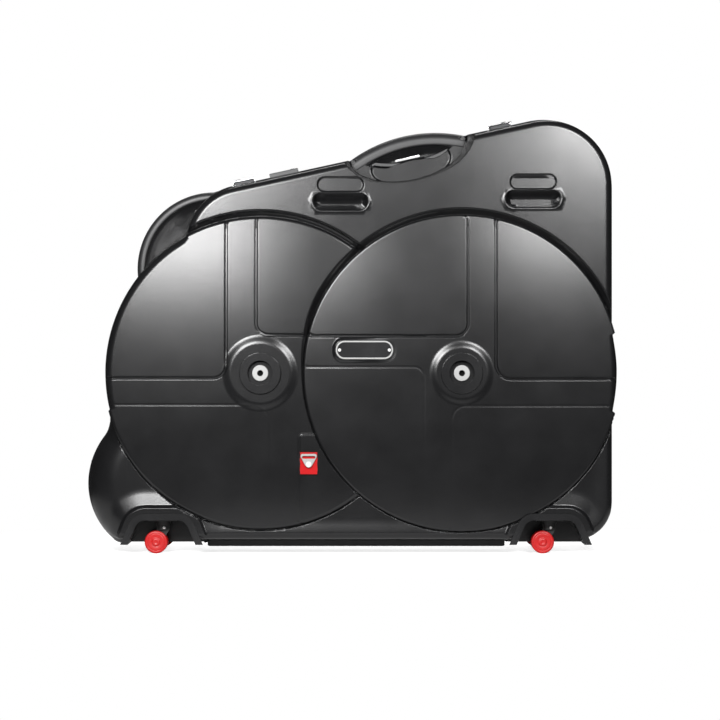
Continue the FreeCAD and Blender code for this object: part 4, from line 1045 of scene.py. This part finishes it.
def foam_pad():
    """Egg-crate foam glued to the lining: its back follows the lining, its peaks face the hollow."""
    outline = inner_outline(9.0, FOAM_MARGIN, FOAM_LOW, FOAM_SCOOP)
    loops = [outline] + [circle(*HUB[side], FOAM_HOLE, 9)[0] for side in HUB]
    free = lattice(FOAM_PITCH / 4, FOAM_LOW)
    p, faces, spans = triangles(loops, free[crossings(free, loops)])
    back = np.full(len(p), FOAM_BACK)
    for turn in np.arange(0, 2 * np.pi, np.pi / 4):
        for reach in (0, FOAM_REACH / 2, FOAM_REACH):
            x, z = p[:, 0] + reach * np.cos(turn), p[:, 1] + reach * np.sin(turn)
            near = height(x, z, WALL, False) - FOAM_GLUE
            back = np.where(near > FOAM_LEAST, np.minimum(back, near), back)
    wave = np.prod(np.cos(2 * np.pi * p / FOAM_PITCH), 1)
    front = back - FOAM_THICK - FOAM_PEAK * (0.5 + 0.5 * wave)
    n = len(p)
    verts = [(x, d, z) for depth in (back, front) for (x, z), d in zip(p, depth)]
    sheets = [tuple(f) for f in faces] + [tuple(n + i for i in f[::-1]) for f in faces]
    for span in spans:
        sheets += [(a, b, n + b, n + a) for a, b in zip(span, span[1:] + span[:1])]
    return verts, sheets


verts, faces = foam_pad()
for half, sign in HALVES:
    form = [(x, sign * d, z) for x, d, z in verts], faces
    piece = put_forms(half + "_foam_eggcrate", [form], half + "_half", "foam_grey", crease=60.0)
    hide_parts(half + "_foam_pad")


def plate_rim():
    """Raised rim round the nameplate, from the (offset, depth) points of its section."""
    section = ((-0.5, 173.2), (-0.4, 175.4), (0.3, 176.2), (1.5, 176.5), (2.7, 176.2), (3.4, 175.0))
    p, n = frame_run(*PLATE[:4], PLATE[4] + PLATE_RIM_R, 3.0)
    rings = [[(x + nx * o, -d, z + nz * o) for o, d in section] for (x, z), (nx, nz) in zip(p, n)]
    return loft(rings, True)


put_forms("nameplate_rim", [plate_rim()], "front_half", "chrome", "satin")


def tow_plate():
    """Stamped three-sided ring with its slot for the webbing and its eye round the rivet."""
    x, z = TOW
    back, front, edge = 172.0, 174.8, 0.7
    outer = path([(x, z - 17, 9.0), (x + 21.5, z + 23, 5.0), (x - 21.5, z + 23, 5.0)], 2.0)
    slot = frame_run(x, z + 15.25, 29.0, 5.5, 2.6, 2.0)
    eye = circle(x, z, 3.8, 1.5)
    loops = ((outer, 1), (slot, -1), (eye, -1))
    p, f, spans = triangles([p + n * (edge * turn) for (p, n), turn in loops], [])
    half = len(p)
    verts = [(a, -depth, b) for depth in (back, front) for a, b in p]
    faces = [tuple(start + i for i in t) for start in (0, half) for t in f]
    for ((p, _), _), span in zip(loops, spans):
        rows = [span]
        for depth in (back + edge, front - edge):
            start = len(verts)
            verts += [(a, -depth, b) for a, b in p]
            rows.append([start + i for i in range(len(p))])
        rows.append([half + i for i in span])
        for lo, hi in zip(rows[:-1], rows[1:]):
            faces += [(lo[k - 1], lo[k], hi[k], hi[k - 1]) for k in range(len(p))]
    return verts, faces


piece = put_forms("tow_ring_plate", [tow_plate()], "tow_anchor", "chrome", "satin")
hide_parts("tow_ring")


def webbing():
    """Short strip of webbing that lies behind the ring, its two ends a little raised."""
    x, z = TOW
    wide, low, high, thick, depth, curl = 39.0, z - 22.0, z + 26.5, 1.6, 169.0, 1.4
    turns = [2 * math.pi * k / 24 for k in range(24)]

    def squared(v, power):
        return math.copysign(abs(v) ** power, v)

    rings = []
    for k in range(25):
        t = k / 24
        middle = depth + curl * abs(2 * t - 1) ** 3 + thick / 2
        half = wide / 2 - 0.4 * math.cos(14 * t) - 0.4
        rings.append([(x + squared(math.cos(a), 0.25) * half,
                       -(middle + squared(math.sin(a), 0.35) * thick / 2),
                       low + (high - low) * t) for a in turns])
    return loft(rings)


piece = put_forms("tow_webbing", [webbing()], "tow_anchor", "webbing_red", crease=50.0)
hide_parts("tow_tab")


def bar(inner, outer, turn, spots):
    """Handle bar with a well rounded outer side; each spot gives the place of a radius along it."""
    section = path([(inner, -BAR_HALF, BAR_UNDER), (outer, -BAR_HALF, turn), (outer, BAR_HALF, turn),
                    (inner, BAR_HALF, BAR_UNDER)], 3.0)[0]
    rings = []
    for spot in spots:
        places = [spot(r) for r, _ in section]
        rings.append([(x, y, z) for (x, z), (_, y) in zip(places, section)])
    return loft(rings)


def corner_spot(angle):
    """Places along a spoke of the corner bar, kept outside the left disc and the body."""
    c, s = math.cos(angle), math.sin(angle)

    def spot(r):
        for _ in range(4):
            x, z = FLANGE[0] + r * c, FLANGE[1] + r * s
            inside = max(float(in_body(x, z)), float(in_disc("left", x, z))) + 0.4
            r = min(r + max(inside, 0), CORNER_BAR[1])
        return FLANGE[0] + r * c, FLANGE[1] + r * s
    return spot


def top_spot(angle):
    c, s = math.cos(angle), math.sin(angle)
    return lambda r: from_slope(r * s, TOP_BAR[0] + r * c)


turns = np.radians(np.linspace(*CORNER_BAR[2:], 61))
form = bar(*CORNER_BAR[:2], CORNER_BAR_ROUND, [corner_spot(a) for a in turns])
piece = put_forms("corner_handle_bar", [form], "rear_half", "trim_black", crease=50.0)
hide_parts("corner_handle")
turns = np.radians(np.linspace(-TOP_BAR[3], TOP_BAR[3], 49))
form = bar(*TOP_BAR[1:3], TOP_BAR_ROUND, [top_spot(a) for a in turns])
piece = put_forms("top_handle_bar", [form], "rear_half", "trim_black", crease=50.0)
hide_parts("top_handle")

# Turned profiles, as (radius, distance along the axle): one wheel of a pair, and the head of a rivet
WHEEL = (
    (3.2, 6.5), (21.5, 6.5), (24.0, 7.2), (25.1, 8.6), (25.5, 10.4), (25.5, 13.6), (25.1, 15.4),
    (24.2, 16.7), (22.6, 17.4), (21.2, 17.5), (20.6, 17.0), (19.4, 16.6), (18.2, 16.9), (17.4, 17.5),
    (11.0, 17.5), (10.2, 17.2), (9.4, 17.5), (8.7, 18.6), (7.4, 19.5), (5.0, 19.9), (4.2, 19.7),
    (3.4, 19.3), (0.1, 19.2),
)
RIVET = ((3.4, 1.5), (3.3, -0.6), (2.6, -1.5), (1.4, -2.0), (0.1, -2.2))
for half, sign in HALVES:
    for side in SWIVEL:
        x = SWIVEL[side] - CASTER_TRAIL
        name = half + "_" + side
        forms = [lathe([(r, sign * CASTER_Y + way * t) for r, t in WHEEL], x, WHEEL_R) for way in (-1, 1)]
        piece = put_forms(name + "_red_wheels", forms, name + "_wheels", "wheel_red")
        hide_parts(name + "_caster_wheels")
        seat = sign * (CASTER_Y + FORK_COLLAR - 0.4)
        rivet = lathe([(r, seat - sign * t) for r, t in RIVET], SWIVEL[side] + FORK_RIVET[0], FORK_RIVET[1], 20)
        put_forms(name + "_fork_rivet", [rivet], name + "_caster", "steel")

# Sections: the near-black sleeve that paints shade in a hub's bore as (radius, depth), a runner as (depth, z)
# with its stops (x, rise)
SHADE_SLEEVE = ((6.7, 174.1), (6.5, 174.5), (6.0, 174.5), (4.9, 172.5), (4.6, 168.0), (4.9, 167.8), (5.6, 173.0))
RUNNER = ((40.0, 12.9), (40.9, 12.0), (65.1, 12.0), (66.0, 12.9), (66.0, 25.3), (40.0, 22.8))
RUNNER_STOPS = ((-326.0, 2.0), (-323.0, 0.4), (-320.0, 0.0), (0.0, 0.0), (335.0, 0.0), (338.0, 0.4),
                (341.0, 2.0))
turns = np.linspace(0, 2 * np.pi, 40, endpoint=False)
# Near-black sleeves in the hub bores: painted shade, so the holes read dark
for half, sign in HALVES:
    forms = [loft([[(x + r * np.cos(a), sign * d, z + r * np.sin(a)) for r, d in SHADE_SLEEVE] for a in turns], True)
             for x, z in HUB.values()]
    put_forms(half + "_bore_shade_sleeves", forms, half + "_half", "trim_black", "bore_shade_black")
for half, sign in HALVES:
    rings = [[(x, sign * d, z + rise * (z < 20)) for d, z in RUNNER] for x, rise in RUNNER_STOPS]
    piece = put_forms(half + "_runner_bar", [loft(rings)], half + "_half", "trim_black")
    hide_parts(half + "_runner")


def area_light(name, place, target, size, power):
    """Soft light, in metres and watts."""
    lamp = bpy.data.lights.new(name, "AREA")
    lamp.shape = "RECTANGLE"
    lamp.size, lamp.size_y = size
    lamp.energy = power
    obj = bpy.data.objects.new(name, lamp)
    obj.location = place
    obj.rotation_mode = "QUATERNION"
    obj.rotation_quaternion = (Vector(target) - Vector(place)).to_track_quat("-Z", "Y")
    bpy.context.scene.collection.objects.link(obj)


area_light("softbox_left", (-0.72, -2.2, 1.28), (-0.35, -0.1, 0.7), (0.8, 0.8), 70)
area_light("softbox_right", (0.85, -2.2, 1.36), (0.45, -0.1, 0.75), (0.6, 0.7), 42)
area_light("fill_behind", (0.0, 2.4, 0.5), (0.0, 0.16, 0.45), (1.0, 0.5), 34)
area_light("softbox_back", (0.0, 1.7, 3.4), (0.0, 0.2, 0.5), (2.0, 0.6), 26)


def floor_material():
    """Pale floor that fades out in an oval round the case."""
    mat = bpy.data.materials.new("floor_pale")
    mat.use_nodes = True
    add = partial(wired, mat.node_tree)
    glow = add("Math", "Value", {0: add("LightPath", "Is Camera Ray", {}), 1: 0.8}, operation="MULTIPLY")
    place = add("TexCoord", "Object", {})
    squeezed = add("Mapping", "Vector", {"Vector": place, "Scale": (1 / 1.05, 1 / 0.62, 1)})
    reach = add("VectorMath", "Value", {0: squeezed}, operation="LENGTH")
    fade = add("MapRange", "Result", {"Value": reach, "From Min": 0.75, "From Max": 1.25,
                                      "To Min": 1.0, "To Max": 0.0})
    feed(mat.node_tree.nodes["Principled BSDF"], {
        "Base Color": (0.8, 0.8, 0.8, 1), "Emission Color": WHITE, "Emission Strength": glow,
        "Roughness": 0.9, "Specular IOR Level": 0.1, "Alpha": fade})
    return mat


def floor_disc(radius=2.6, count=72):
    """Studio floor under the case, in metres."""
    turns = [2 * math.pi * k / count for k in range(count)]
    data = bpy.data.meshes.new("floor")
    rim = [(radius * math.cos(a), radius * math.sin(a), 0) for a in turns]
    data.from_pydata(rim, [], [range(count)])
    data.materials.append(floor_material())
    obj = bpy.data.objects.new("floor", data)
    bpy.context.scene.collection.objects.link(obj)


WHITE = (1, 1, 1, 1)
floor_disc()

# White behind the case for the camera alone; little light comes from all round
world = bpy.data.worlds.new("studio")
bpy.context.scene.world = world
world.use_nodes = True
nodes = world.node_tree.nodes
add = partial(wired, world.node_tree)
feed(nodes["Background"], {"Color": WHITE, "Strength": 1.0})
ambient = add("Background", "Background", {"Color": WHITE, "Strength": 0.035})
blend = add("MixShader", "Shader", {"Fac": add("LightPath", "Is Camera Ray", {}), 1: ambient,
                                    2: nodes["Background"].outputs["Background"]})
feed(nodes["World Output"], {"Surface": blend})

camera = bpy.data.cameras.new("camera")
camera.lens = 132.1
camera.sensor_width = 36.0
camera.clip_end = 50
eye = bpy.data.objects.new("camera", camera)
eye.location = (0.0162, -6.0, 0.430)
eye.rotation_euler = (math.radians(90), 0, 0)
bpy.context.scene.collection.objects.link(eye)
bpy.context.scene.camera = eye
bpy.context.scene.view_settings.view_transform = "Standard"
